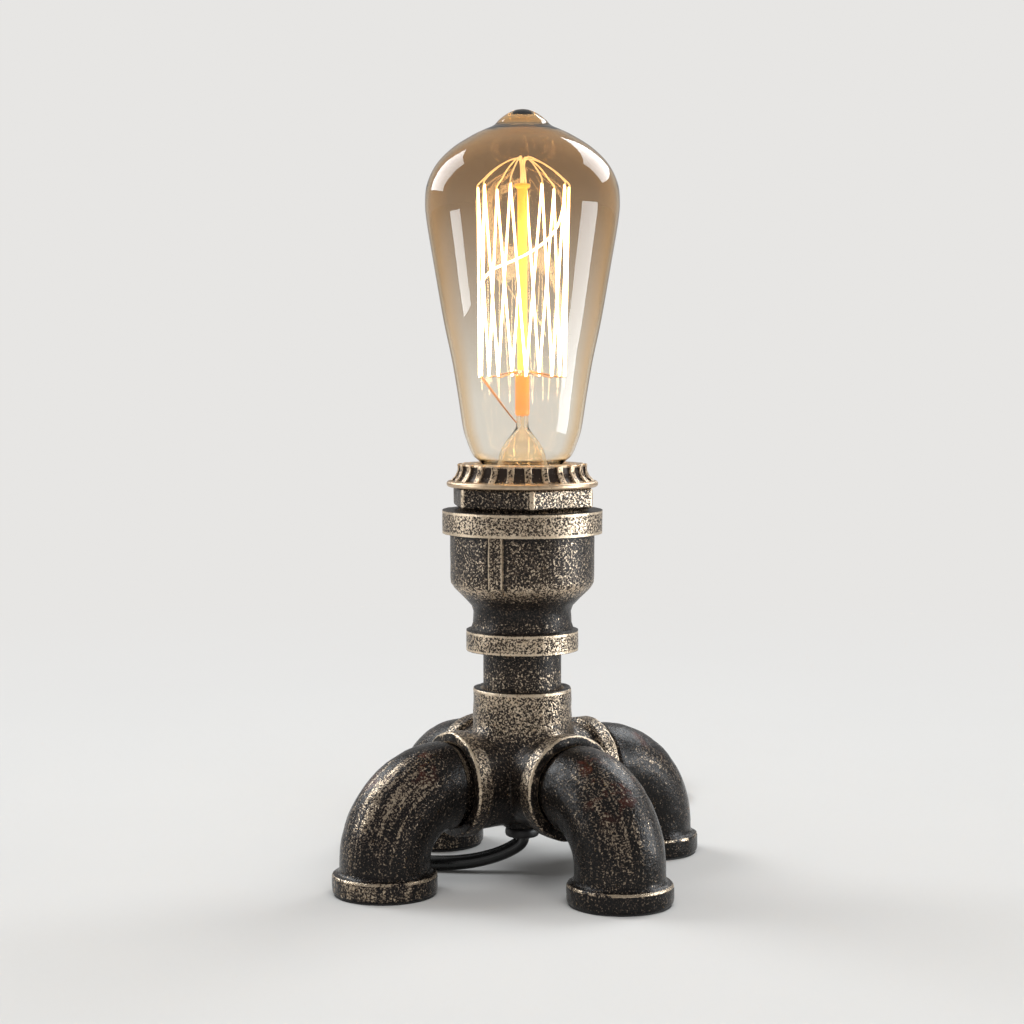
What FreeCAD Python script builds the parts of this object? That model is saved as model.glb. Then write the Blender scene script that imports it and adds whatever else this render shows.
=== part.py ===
import FreeCAD, Part

import math
import os

# Industrial pipe table lamp: a five-way cast fitting on four elbow legs, a short
# nipple, a reducing socket with a hexagon bushing, and a screw-cap filament bulb.
# +Z is up. The origin is on the table, on the lamp's upright axis. -Y is the front.
# All lengths are in millimetres and all angles in degrees.

V = FreeCAD.Vector
UP = V(0, 0, 1)
ORIGIN = V(0, 0, 0)

# ---- pipe and threads (plain cylinders with a thread's play) ----
PIPE_R = 13.0
PIPE_BORE_R = 10.4
THREAD_PLAY = 0.05
THREAD_DEPTH = 11.5
END_GAP = 0.3
EDGE_ROUND = 0.8

# ---- legs ----
LEG_ANGLES = {"rear_right": 45, "rear_left": 135, "front_left": 225, "front_right": 315}
PAD_LIP = 0.6
PAD_LIP_INSET = 0.7
PAD_DEPTH = 5.0
PAD_WALL = 3.0
PAD_FLOOR = 1.6
FOOT_BEAD_R = 17.05
FOOT_BEAD_H = 6.5
FOOT_NECK = 3.4
FOOT_SOCKET_DEPTH = 9.0
ELBOW_R = 14.65
BEND_R = 22.0
ELBOW_SHOW = 3.2
SHOULDER_START = 0.8
SHOULDER_LENGTH = 1.4

# ---- five-way cross ----
OUTLET_REACH = 28.7
BRANCH_R = 15.6
OUTLET_BEAD_R = 17.3
OUTLET_BEAD_W = 6.0
COLLAR_R = 16.4
COLLAR_RISE = 30.0
CHAMBER_R = 11.0
MOUTH_CHAMFER = 1.2
SPOT_FACE_PLAY = 0.5
BOSS_R = 6.6
BOSS_DROP = 17.1
SADDLE_FILLET = 4.0

# ---- stem nipple and reducing socket ----
NIPPLE_SHOW = 12.5
LOWER_RING_R = 18.65
LOWER_RING_H = 6.7
NECK_TOP_R = 18.3
NECK_R = 16.1
NECK_RISE = 11.6
SHOULDER_RISE = 22.1
SHOULDER_SWELL = 1.2
BODY_R = 23.95
BODY_TOP_RISE = 39.0
UPPER_RING_R = 26.55
UPPER_RING_H = 7.7
PASSAGE_R = 10.5
SEAT_RISE = 22.0
CAST_RIB_W = 4.7
CAST_RIB_PROUD = 0.9
CAST_RIB_SINK = 1.0
CAST_RIB_ANGLES = (-100.8, 79.2)

# ---- hexagon bushing ----
HEX_AF = 43.5
HEX_H = 6.7
HEX_GAP = 1.0
HEX_TURN = -12.5
SKIRT_R = 20.9
SKIRT_PLAY = 0.1
SKIRT_BORE_R = 19.1

# ---- lampholder ----
HOLDER_BASE_R = 20.3
HOLDER_BASE_H = 12.0
HOLDER_R = 18.8
HOLDER_TOP_GAP = 0.3
HOLDER_CAVITY_R = 17.0
HOLDER_FLOOR = 2.5
ENTRY_R = 4.6
INSERT_PLAY = 0.15
INSERT_WALL = 2.0
WIRING_H = 5.0
DISC_H = 3.5
INSERT_RIM_H = 4.0
INSERT_RIM_WALL = 2.4
SHELL_R = 14.0
SHELL_WALL = 0.4
SHELL_H = 23.5
SHELL_HOLE_R = 9.0
CONTACT_R = 3.6
CONTACT_H = 1.3
TERMINAL = (5.0, 4.0, 3.4)
TERMINAL_X = 9.0
TERMINAL_SCREW_R = 1.2

# ---- shade ring ----
RING_FLANGE_R = 25.1
RING_FLANGE_H = 1.9
RING_H = 7.7
RING_TOP_R = 21.64
RING_FOOT_R = 24.2
RING_THREAD_PLAY = 0.2
RING_PLATE = 1.5
RING_HOLE_R = 15.0
RIB_COUNT = 24
RIB_W = 2.3
RIB_PROUD = 1.3
RIB_KNEE_H = 1.74
RIB_KNEE_R = 22.36
RING_EDGE = 0.6

# ---- bulb ----
BULB_GAP = 0.3
CAP_H = 26.5
CAP_R = 13.2
CAP_WALL = 0.4
CAP_SKIRT_RISE = 4.2
CAP_INSULATOR_TOP_R = 12.5
CAP_CONTACT_R = 4.8
CAP_CONTACT_H = 1.1
CAP_CONTACT_EDGE = 1.0
INSULATOR_LIP = 0.4
INSULATOR_SHOULDER = 0.3
INSULATOR_SEAT = 1.0
GLASS_WALL = 0.9
GLASS_NECK_R = 12.2
GLASS_NECK_DEPTH = 12.0
CEMENT_PLAY = 0.05
CEMENT_DEPTH = 9.0
CEMENT_TOP_GAP = 0.3
# Radius and height above the cap's rim, up the outside of the glass.
GLASS_DOME = (
    (12.7, 0.2), (14.6, 2.0), (16.6, 3.9), (18.5, 8.6), (19.7, 13.0), (21.2, 22.9),
    (23.2, 34.8), (26.1, 48.6), (29.4, 67.6), (31.6, 81.0), (32.0, 87.6),
    (31.2, 93.2), (28.2, 99.2), (23.0, 104.4), (16.7, 108.4), (12.5, 110.4), (10.3, 111.3),
)
GLASS_TIP = ((9.7, 112.3), (8.0, 113.6), (5.1, 115.2), (0.0, 117.3))
TIP_WALL = 1.6
TIP_BORE_SHARE = 0.55

# ---- inside the bulb, heights above the cap's rim ----
FLARE_R = 10.9
FLARE_DROP = 10.0
FLARE_WALL = 1.0
FLARE_KNEE_R = 7.7
FLARE_KNEE_RISE = 3.6
FLARE_SLACK = 0.4
CONE_R = 5.3
CONE_RISE = 8.6
PINCH_R = 1.95
PINCH_RISE = 12.9
STEM_R = 2.4
STEM_RISE = 18.6
STEM_TOP_RISE = 31.8
STEM_BUTTON_R = 3.4
STEM_STEP = 0.6
STEM_BUTTON_H = 1.4
ROD_R = 1.65
ROD_TOP_RISE = 93.4
ROD_BUTTON_R = 2.6
ROD_BUTTON_H = 1.6
ROD_BUTTON_EDGE = 0.4
STRANDS = 18
CAGE_START = 190.0
STRAND_R = 0.3
CAGE_TOP_R = 15.6
CAGE_TOP_RISE = 92.0
CAGE_FOOT_R = 14.2
CAGE_FOOT_RISE = 30.0
HOOK_R = 0.25
UPPER_ROOT_DROP = 0.8
LOWER_ROOT_DROP = 0.4
WIRE_START_RISE = 15.5

# ---- mains cord ----
CORD_R = 2.5
FLOOR_LIFT = 0.05
ARC_SHARE = 0.45
CORE_R = 1.0
CORE_X = 1.3
SHEATH_TOP_GAP = 3.0
GROMMET_FLANGE_R = 5.75
GROMMET_FLANGE_H = 3.5
GROMMET_NECK_R = 4.3
GROMMET_HOLE_PLAY = 0.1
GROMMET_INNER_R = 5.4
GROMMET_INNER_H = 1.8
CORD_PLAY = 0.1
CLAMP_R = 5.2
CLAMP_H = 4.0
CLAMP_GAP = 0.3
CLAMP_SLOT = 0.8

# The points that each free stretch of cord turns at.
LEAD_ROUTE = (
    (0.0, 0.0, 11.9), (0.0, 0.0, 8.2), (-1.7, -0.3, 4.7), (-5.6, -1.1, 2.6),
    (-12.2, -2.5, 2.55), (-21.8, -4.2, 2.55), (-33.3, -4.6, 2.55), (-45.0, -1.6, 2.55),
    (-56.5, 7.5, 2.55), (-64.3, 21.4, 2.55), (-66.9, 37.1, 2.55), (-64.33, 53.3, 2.55),
    (-59.45, 64.26, 3.6), (-52.14, 73.13, 5.7), (-44.36, 78.58, 7.0), (-36.15, 81.45, 7.0),
)
LINK_ROUTE = (
    (11.04, 97.98, 7.0), (22.65, 102.04, 7.0), (31.86, 109.74, 4.9), (37.62, 119.92, 3.0),
    (39.35, 130.99, 2.55), (37.12, 141.76, 2.55), (31.65, 150.42, 2.55),
)
TAIL_ROUTE = (
    (-24.09, 183.65, 12.75), (-32.73, 184.36, 12.75), (-40.83, 183.06, 11.6),
    (-48.38, 179.85, 9.8), (-54.86, 174.99, 8.0), (-59.92, 168.8, 6.8),
    (-63.18, 161.93, 6.6), (-64.67, 154.68, 6.85), (-64.4, 148.07, 6.85),
)

# ---- switch on the cord ----
SWITCH_AT = (-36.15, 81.45)
SWITCH_TURN = 19.3
SWITCH_L = 50.0
SWITCH_W = 22.0
SWITCH_H = 15.2
SWITCH_SPLIT = 7.0
SWITCH_WALL = 1.8
SWITCH_CORNER = 7.0
SWITCH_EDGE = 2.0
SWITCH_AXIS_Z = 7.0
ROCKER_L = 18.0
ROCKER_W = 9.2
ROCKER_PIVOT_Z = 11.0
ROCKER_TOP = 4.8
ROCKER_DIP = 0.9
ROCKER_UNDER = 1.6
ROCKER_KEEL = 2.56
ROCKER_TILT = 8.0
ROCKER_PLAY = 0.9
ROCKER_PIN_R = 1.2
ROCKER_PIN_L = 1.2
PIN_PLAY = 0.05
CHEEK_W = 1.5
CHEEK_L = 6.0
CHEEK_GAP = 0.3
SCREW_X = 16.0
SCREW_Y = 6.4
SCREW_R = 1.3
SCREW_HEAD_R = 2.4
SCREW_HEAD_H = 1.2
SCREW_L = 10.5
SCREW_BOSS_R = 2.9
SCREW_BOSS_SINK = 0.5
SCREW_BOSS_DROP = 1.0
SCREW_HOLE_PLAY = 0.3
SCREW_HEAD_PLAY = 0.2
SCREW_HEAD_SINK = 0.1
BLOCK = (6.0, 3.6, 3.4)
BLOCK_X = 11.0
SPRING = (20.0, 4.0, 0.5)

# ---- coil of spare cord ----
COIL_AT = (-6.33, 149.48)
COIL_MEAN_R = 27.5
COIL_PITCH = 5.1
COIL_ROWS = 3
COIL_COLUMNS = 3
COIL_IN_ANGLE = 32.3
COIL_OUT_ANGLE = 85.3
COIL_IN_STUB = 19.5
COIL_OUT_STUB = 20.5
COIL_EDGE = 2.0
TIE_ANGLE = 250.0
TIE_W = 6.0
TIE_T = 0.8
TIE_TAB = (9.0, 2.4, 3.0)

# ---- plug ----
PLUG_AT = (-64.4, 148.07)
PLUG_TURN = 272.3
PLUG_AXIS_Z = 6.85
BOOT_L = 20.0
BOOT_TIP_R = 3.4
BOOT_R = 4.9
BOOT_RIBS = 4
BOOT_GROOVE_W = 1.6
BOOT_GROOVE = 0.7
PLUG_L = 30.0
PLUG_WIDE = 26.0
PLUG_THICK = 13.7
PLUG_STRAIGHT = 14.0
PLUG_REAR_WIDE = 14.0
PLUG_REAR_THICK = 11.0
PLUG_PIN_PITCH = 18.6
PLUG_PIN_L = 19.0
PLUG_PIN_R = 2.0
PLUG_PIN_CORE_R = 1.5
PLUG_PIN_ROOT = 9.0
PIN_SLEEVE_L = 9.5

# ---- levels and places worked out from the sizes above ----
bend_x = OUTLET_REACH + ELBOW_SHOW
foot_reach = bend_x + BEND_R
bend_z = PAD_LIP + FOOT_BEAD_H + FOOT_NECK
outlet_z = bend_z + BEND_R
collar_top = outlet_z + COLLAR_RISE
female_r = PIPE_R + THREAD_PLAY
socket_depth = THREAD_DEPTH + END_GAP
socket_z = collar_top + NIPPLE_SHOW
seat_z = socket_z + SEAT_RISE
socket_top = socket_z + BODY_TOP_RISE + UPPER_RING_H
hex_z = socket_top + HEX_GAP
hex_top = hex_z + HEX_H
ring_top = hex_top + RING_H
holder_top = ring_top - RING_PLATE - HOLDER_TOP_GAP
holder_step_z = seat_z + HOLDER_BASE_H
wiring_z = seat_z + HOLDER_FLOOR
disc_z = wiring_z + WIRING_H
disc_top = disc_z + DISC_H
contact_top = disc_top + CONTACT_H
bulb_z = contact_top + BULB_GAP
cap_top = bulb_z + CAP_H
boss_z = outlet_z - BOSS_DROP
chamber_floor = outlet_z - CHAMBER_R
grommet_z = boss_z - GROMMET_FLANGE_H
sheath_top = seat_z - SHEATH_TOP_GAP


# ---- small tools ----
def cylinder(radius, z0, z1, x=0.0, y=0.0):
    return Part.makeCylinder(radius, z1 - z0, V(x, y, z0))


def tube(radius, bore, z0, z1):
    return cylinder(radius, z0, z1).cut(cylinder(bore, z0, z1))


def rod(radius, start, end):
    along = end - start
    return Part.makeCylinder(radius, along.Length, start, along)


def box(size, centre_x, centre_y, z0):
    corner = V(centre_x - size[0] / 2, centre_y - size[1] / 2, z0)
    return Part.makeBox(size[0], size[1], size[2], corner)


def polygon(points):
    return Part.makePolygon([V(*p) for p in points] + [V(*points[0])])


def turned(points):
    """A solid of revolution about Z from the corners (radius, height) of its half section."""
    face = Part.Face(polygon([(r, 0, z) for r, z in points]))
    return face.revolve(ORIGIN, UP, 360)


def joined(pieces):
    whole = pieces[0]
    if len(pieces) > 1:
        whole = whole.multiFuse(pieces[1:])
    return whole.removeSplitter()


def group(solids):
    return Part.makeCompound(solids)


def rounded(shape, radius, is_wanted):
    """The shape with the circular edges that is_wanted(radius, height) picks rounded off."""
    edges = []
    for edge in shape.Edges:
        curve = edge.Curve
        if isinstance(curve, Part.Circle) and abs(curve.Axis.z) > 0.99:
            if is_wanted(curve.Radius, curve.Center.z):
                edges.append(edge)
    return shape.makeFillet(radius, edges)


def near(a, b):
    return abs(a - b) < 0.01


def swung(shape, angle, x=0.0, y=0.0):
    """The shape turned about Z and then moved across the table."""
    moved = shape.copy()
    moved.rotate(ORIGIN, UP, angle)
    moved.translate(V(x, y, 0))
    return moved


def route_edges(points):
    """Straight runs joined by tangent arcs, each as large as its two runs allow."""
    corners = [V(*p) for p in points]
    start = corners[0]
    edges = []
    radii = []
    for before, corner, after in zip(corners, corners[1:], corners[2:]):
        back = before - corner
        ahead = after - corner
        reach = ARC_SHARE * min(back.Length, ahead.Length)
        back.normalize()
        ahead.normalize()
        turn = math.pi - back.getAngle(ahead)
        radii.append(reach / math.tan(turn / 2))
        first = corner + back * reach
        last = corner + ahead * reach
        inward = back + ahead
        inward.normalize()
        depth = radii[-1] / math.cos(turn / 2) - radii[-1]
        middle = corner + inward * depth
        edges.append(Part.LineSegment(start, first).toShape())
        edges.append(Part.Arc(first, middle, last).toShape())
        start = last
    edges.append(Part.LineSegment(start, corners[-1]).toShape())
    return edges, radii


def corded(name, points, radius):
    """A round cord along a route, with its radii and its volume printed."""
    edges, radii = route_edges(points)
    path = Part.Wire(edges)
    along = V(*points[1]) - V(*points[0])
    ring = Part.Wire(Part.Circle(V(*points[0]), along, radius).toShape())
    solid = path.makePipeShell([ring], True, False)
    share = solid.Volume / (math.pi * radius ** 2 * path.Length)
    print(name, "length %.1f" % path.Length, "volume share %.4f" % share,
          "radii", " ".join("%.1f" % r for r in radii))
    return solid


# ---- legs ----
def elbow():
    """One leg pointing along +X: threaded end, quarter bend, foot socket with its bead."""
    axis_x = V(1, 0, 0)
    start = V(OUTLET_REACH - THREAD_DEPTH, 0, outlet_z)
    shoulder = V(OUTLET_REACH + SHOULDER_START, 0, outlet_z)
    shoulder_end = shoulder + axis_x * SHOULDER_LENGTH
    bend_start = V(bend_x, 0, outlet_z)
    threaded = rod(PIPE_R, start, shoulder)
    cone = Part.makeCone(PIPE_R, ELBOW_R, SHOULDER_LENGTH, shoulder, axis_x)
    straight = rod(ELBOW_R, shoulder_end, bend_start)
    bend = quarter_bend(ELBOW_R)
    leg = cylinder(ELBOW_R, PAD_LIP, bend_z, foot_reach)
    bead = cylinder(FOOT_BEAD_R, PAD_LIP, PAD_LIP + FOOT_BEAD_H, foot_reach)
    bead = rounded(bead, EDGE_ROUND, lambda r, z: True)
    outside = joined([threaded, cone, straight, bend, leg, bead])
    bores = [
        rod(PIPE_BORE_R, start, bend_start),
        quarter_bend(PIPE_BORE_R),
        cylinder(PIPE_BORE_R, PAD_LIP, bend_z, foot_reach),
        cylinder(female_r, PAD_LIP, PAD_LIP + FOOT_SOCKET_DEPTH, foot_reach),
    ]
    return outside.cut(joined(bores))


def quarter_bend(radius):
    circle = Part.Circle(V(bend_x, 0, outlet_z), V(1, 0, 0), radius)
    disc = Part.Face(Part.Wire(circle.toShape()))
    return disc.revolve(V(bend_x, 0, bend_z), V(0, 1, 0), 90)


def foot_pad():
    """A rubber cup pushed into the foot socket, with a thin lip under the bead."""
    lip = cylinder(FOOT_BEAD_R - PAD_LIP_INSET, 0, PAD_LIP, foot_reach)
    stopper = cylinder(female_r - THREAD_PLAY, 0, PAD_LIP + PAD_DEPTH, foot_reach)
    hollow_r = female_r - THREAD_PLAY - PAD_WALL
    hollow = cylinder(hollow_r, PAD_FLOOR, PAD_LIP + PAD_DEPTH, foot_reach)
    return joined([lip, stopper]).cut(hollow)


# ---- five-way cross ----
def outlet_parts():
    """The solids of the four side outlets, each along its own leg."""
    branches = []
    beads = []
    for angle in LEG_ANGLES.values():
        middle = V(0, 0, outlet_z)
        along = V(math.cos(math.radians(angle)), math.sin(math.radians(angle)), 0)
        face = middle + along * OUTLET_REACH
        branches.append(rod(BRANCH_R, middle, face - along * OUTLET_BEAD_W / 2))
        bead = rod(OUTLET_BEAD_R, face - along * OUTLET_BEAD_W, face)
        beads.append(bead.makeFillet(EDGE_ROUND, round_edges(bead, OUTLET_BEAD_R)))
    return branches, beads


def round_edges(shape, radius):
    found = []
    for edge in shape.Edges:
        if isinstance(edge.Curve, Part.Circle) and near(edge.Curve.Radius, radius):
            found.append(edge)
    return found


def side_outlet_cross():
    branches, beads = outlet_parts()
    collar = cylinder(COLLAR_R, outlet_z, collar_top)
    boss = cylinder(BOSS_R, boss_z, outlet_z)
    casting = joined([collar] + branches)
    saddles = [e for e in casting.Edges if isinstance(e.Curve, Part.BSplineCurve)]
    casting = casting.makeFillet(SADDLE_FILLET, saddles)
    outside = joined([casting, boss] + beads)
    mouth_r = female_r + MOUTH_CHAMFER
    bores = [
        cylinder(CHAMBER_R, outlet_z, collar_top),
        cylinder(female_r, collar_top - socket_depth, collar_top),
        Part.makeCone(female_r, mouth_r, MOUTH_CHAMFER, V(0, 0, collar_top - MOUTH_CHAMFER)),
        cylinder(GROMMET_NECK_R + GROMMET_HOLE_PLAY, boss_z, outlet_z),
        cylinder(GROMMET_INNER_R + SPOT_FACE_PLAY, chamber_floor, outlet_z),
    ]
    middle = V(0, 0, outlet_z)
    for angle in LEG_ANGLES.values():
        along = V(math.cos(math.radians(angle)), math.sin(math.radians(angle)), 0)
        face = middle + along * OUTLET_REACH
        if angle < 180:
            bores.append(rod(CHAMBER_R, middle - along * OUTLET_REACH, face))
        bores.append(rod(female_r, face - along * socket_depth, face))
        bores.append(Part.makeCone(female_r, mouth_r, MOUTH_CHAMFER,
                                   face - along * MOUTH_CHAMFER, along))
    return outside.cut(bores)


# ---- stem ----
def stem_nipple():
    low = collar_top - THREAD_DEPTH
    high = socket_z + THREAD_DEPTH
    return tube(PIPE_R, PIPE_BORE_R, low, high)


def reducing_socket():
    neck = [(NECK_TOP_R, LOWER_RING_H), (NECK_R, NECK_RISE),
            ((NECK_R + BODY_R) / 2, (NECK_RISE + SHOULDER_RISE) / 2 + SHOULDER_SWELL),
            (BODY_R, SHOULDER_RISE)]
    curve = Part.BSplineCurve()
    curve.interpolate([V(r, 0, socket_z + rise) for r, rise in neck],
                      InitialTangent=V(-0.6, 0, 1), FinalTangent=V(0, 0, 1))
    corners = [V(BODY_R, 0, socket_z + SHOULDER_RISE), V(BODY_R, 0, socket_top),
               V(0, 0, socket_top), V(0, 0, socket_z + LOWER_RING_H),
               V(NECK_TOP_R, 0, socket_z + LOWER_RING_H)]
    edges = [curve.toShape()]
    for a, b in zip(corners, corners[1:]):
        edges.append(Part.LineSegment(a, b).toShape())
    body = Part.Face(Part.Wire(edges)).revolve(ORIGIN, UP, 360)
    lower = cylinder(LOWER_RING_R, socket_z, socket_z + LOWER_RING_H)
    lower = rounded(lower, EDGE_ROUND, lambda r, z: True)
    upper = cylinder(UPPER_RING_R, socket_top - UPPER_RING_H, socket_top)
    upper = rounded(upper, EDGE_ROUND, lambda r, z: True)
    ribs = []
    for angle in CAST_RIB_ANGLES:
        size = (BODY_R + CAST_RIB_PROUD, CAST_RIB_W, BODY_TOP_RISE - SHOULDER_RISE + 2 * CAST_RIB_SINK)
        rib = box(size, size[0] / 2, 0, socket_z + SHOULDER_RISE - CAST_RIB_SINK)
        rib = rib.common(cylinder(BODY_R + CAST_RIB_PROUD, socket_z, socket_top))
        ribs.append(swung(rib, angle))
    outside = joined([body, lower, upper] + ribs)
    well_r = SKIRT_R + SKIRT_PLAY
    bores = [
        cylinder(female_r, socket_z, socket_z + socket_depth),
        cylinder(PASSAGE_R, socket_z, socket_top),
        cylinder(well_r, seat_z, socket_top),
        Part.makeCone(well_r, well_r + MOUTH_CHAMFER, MOUTH_CHAMFER,
                      V(0, 0, socket_top - MOUTH_CHAMFER)),
    ]
    return outside.cut(joined(bores))


def hex_bushing():
    corner_r = HEX_AF / math.sqrt(3)
    corners = []
    for k in range(6):
        turn = math.radians(60 * k + HEX_TURN)
        corners.append((corner_r * math.cos(turn), corner_r * math.sin(turn), hex_z))
    head = Part.Face(polygon(corners)).extrude(V(0, 0, HEX_H))
    skirt = cylinder(SKIRT_R, holder_step_z + END_GAP, hex_z)
    bore = cylinder(SKIRT_BORE_R, holder_step_z, hex_top)
    return joined([head, skirt]).cut(bore)


# ---- lampholder ----
def holder_body():
    base = cylinder(HOLDER_BASE_R, seat_z, holder_step_z)
    skirt = cylinder(HOLDER_R, seat_z, holder_top)
    hollow = cylinder(HOLDER_CAVITY_R, wiring_z, holder_top)
    entry = cylinder(ENTRY_R, seat_z, wiring_z)
    return joined([base, skirt]).cut([hollow, entry])


def holder_insert():
    """Porcelain core: a disc on a ring wall, with a rim round the screw shell's foot."""
    outer = HOLDER_CAVITY_R - INSERT_PLAY
    disc = cylinder(outer, disc_z, disc_top)
    wall = tube(outer, outer - INSERT_WALL, wiring_z, disc_z)
    rim = tube(outer, outer - INSERT_RIM_WALL, disc_top, disc_top + INSERT_RIM_H)
    return joined([disc, wall, rim])


def screw_shell():
    wall = tube(SHELL_R, SHELL_R - SHELL_WALL, disc_top, disc_top + SHELL_H)
    foot = tube(SHELL_R, SHELL_HOLE_R, disc_top, disc_top + SHELL_WALL)
    return joined([wall, foot])


def centre_contact():
    plate = cylinder(CONTACT_R, disc_top, disc_top + CONTACT_H / 2)
    crown = Part.makeCone(CONTACT_R, CONTACT_R / 2, CONTACT_H / 2,
                          V(0, 0, disc_top + CONTACT_H / 2))
    return joined([plate, crown])


def terminal_blocks():
    z0 = disc_z - TERMINAL[2]
    blocks = []
    for x in (-TERMINAL_X, TERMINAL_X):
        block = box(TERMINAL, x, 0, z0)
        blocks.append(block.cut(cylinder(TERMINAL_SCREW_R, z0, disc_z, x)))
    return group(blocks)


def terminal_screws():
    z0 = disc_z - TERMINAL[2]
    return group([cylinder(TERMINAL_SCREW_R, z0, disc_z, x)
                  for x in (-TERMINAL_X, TERMINAL_X)])


# ---- shade ring ----
def shade_ring():
    """Flanged ring nut with upright ribs that flare out over the flange."""
    z0 = hex_top
    flange = cylinder(RING_FLANGE_R, z0, z0 + RING_FLANGE_H)
    flange = rounded(flange, RING_EDGE, lambda r, z: True)
    foot_z = z0 + RING_FLANGE_H
    knee_z = foot_z + RIB_KNEE_H
    core = turned([
        (0, z0), (RING_FOOT_R - RIB_PROUD, z0), (RING_FOOT_R - RIB_PROUD, foot_z),
        (RIB_KNEE_R - RIB_PROUD, knee_z), (RING_TOP_R - RIB_PROUD, ring_top), (0, ring_top),
    ])
    blade = [
        (HOLDER_R + RING_THREAD_PLAY, -RIB_W / 2, foot_z), (RING_FOOT_R, -RIB_W / 2, foot_z),
        (RIB_KNEE_R, -RIB_W / 2, knee_z), (RING_TOP_R, -RIB_W / 2, ring_top - EDGE_ROUND / 2),
        (RING_TOP_R - EDGE_ROUND / 2, -RIB_W / 2, ring_top),
        (HOLDER_R + RING_THREAD_PLAY, -RIB_W / 2, ring_top),
    ]
    rib = Part.Face(polygon(blade)).extrude(V(0, RIB_W, 0))
    ribs = [swung(rib, 360 * k / RIB_COUNT) for k in range(RIB_COUNT)]
    thread = cylinder(HOLDER_R + RING_THREAD_PLAY, z0, ring_top - RING_PLATE)
    hole = cylinder(RING_HOLE_R, z0, ring_top)
    return joined([flange, core] + ribs).cut([thread, hole])


# ---- bulb ----
def inward(points, wall):
    """Points moved square to their line by the wall, towards the axis side."""
    moved = []
    for i in range(len(points)):
        r0, z0 = points[max(i - 1, 0)]
        r1, z1 = points[min(i + 1, len(points) - 1)]
        size = math.hypot(r1 - r0, z1 - z0)
        r, z = points[i]
        moved.append((max(0.0, r - wall * (z1 - z0) / size), z + wall * (r1 - r0) / size))
    return moved


def glass_blank(dome, tip, neck_r, neck_z):
    """A closed turned solid: neck, dome and pinched-off tip."""
    dome_curve = Part.BSplineCurve()
    dome_curve.interpolate([V(r, 0, z) for r, z in dome])
    tip_curve = Part.BSplineCurve()
    tip_curve.interpolate([V(r, 0, z) for r, z in [dome[-1]] + tip])
    top = V(0, 0, tip[-1][1])
    foot = V(0, 0, neck_z)
    edges = [
        Part.LineSegment(foot, V(neck_r, 0, neck_z)).toShape(),
        Part.LineSegment(V(neck_r, 0, neck_z), V(neck_r, 0, cap_top)).toShape(),
        Part.LineSegment(V(neck_r, 0, cap_top), V(dome[0][0], 0, dome[0][1])).toShape(),
        dome_curve.toShape(),
        tip_curve.toShape(),
        Part.LineSegment(top, foot).toShape(),
    ]
    return Part.Face(Part.Wire(edges)).revolve(ORIGIN, UP, 360)


def bulb_glass():
    dome = [(r, cap_top + rise) for r, rise in GLASS_DOME]
    tip = [(r, cap_top + rise) for r, rise in GLASS_TIP]
    neck_z = cap_top - GLASS_NECK_DEPTH
    outside = glass_blank(dome, tip, GLASS_NECK_R, neck_z)
    inner_dome = inward(dome, GLASS_WALL)
    inner_tip = [(TIP_BORE_SHARE * r, z - TIP_WALL) for r, z in tip[1:]]
    inside = glass_blank(inner_dome, inner_tip, GLASS_NECK_R - GLASS_WALL, neck_z)
    return outside.cut(inside)


def bulb_cap():
    skirt_z = bulb_z + CAP_SKIRT_RISE
    return tube(CAP_R, CAP_R - CAP_WALL, skirt_z, cap_top)


def cap_cement():
    bore = GLASS_NECK_R + CEMENT_PLAY
    top = cap_top - CEMENT_TOP_GAP
    return tube(CAP_R - CAP_WALL, bore, top - CEMENT_DEPTH, top)


def cap_insulator():
    z0 = bulb_z + CAP_CONTACT_H
    skirt_z = bulb_z + CAP_SKIRT_RISE
    return turned([
        (0, z0), (CAP_CONTACT_R + INSULATOR_LIP, z0),
        (CAP_INSULATOR_TOP_R, skirt_z - INSULATOR_SHOULDER),
        (CAP_INSULATOR_TOP_R, skirt_z + INSULATOR_SEAT), (0, skirt_z + INSULATOR_SEAT),
    ])


def cap_contact():
    return turned([
        (0, bulb_z), (CAP_CONTACT_R - CAP_CONTACT_EDGE, bulb_z), (CAP_CONTACT_R, bulb_z + CAP_CONTACT_H),
        (0, bulb_z + CAP_CONTACT_H),
    ])


def glass_stem():
    """Flared glass mount: hollow cone, flat pinch and the tube up to its button."""
    foot = cap_top - FLARE_DROP
    knee = cap_top + FLARE_KNEE_RISE
    cone = cap_top + CONE_RISE
    pinch = cap_top + PINCH_RISE
    neck = cap_top + STEM_RISE
    top = cap_top + STEM_TOP_RISE
    outer = [
        (FLARE_R, foot), (FLARE_KNEE_R, knee), (CONE_R, cone), (PINCH_R, pinch),
        (PINCH_R, neck - STEM_STEP), (STEM_R, neck), (STEM_R, top - STEM_BUTTON_H),
        (STEM_BUTTON_R, top - STEM_STEP), (STEM_BUTTON_R, top), (0, top), (0, pinch - FLARE_WALL),
        (CONE_R - FLARE_WALL, cone - FLARE_SLACK),
        (FLARE_KNEE_R - FLARE_WALL, knee - FLARE_SLACK / 2), (FLARE_R - FLARE_WALL, foot),
    ]
    return turned(outer)


def stem_rod():
    low = cap_top + STEM_TOP_RISE
    high = cap_top + ROD_TOP_RISE
    shaft = cylinder(ROD_R, low, high)
    button = cylinder(ROD_BUTTON_R, high - ROD_BUTTON_H, high)
    return joined([shaft, rounded(button, ROD_BUTTON_EDGE, lambda r, z: True)])


def cage_point(step, top_r, foot_r):
    """A bend of the filament: odd steps are at the top of the cage, even ones at its foot."""
    angle = math.radians(CAGE_START - 360 * step / (STRANDS + 1))
    radius = top_r if step % 2 else foot_r
    rise = CAGE_TOP_RISE if step % 2 else CAGE_FOOT_RISE
    return V(radius * math.cos(angle), radius * math.sin(angle), cap_top + rise)


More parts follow.
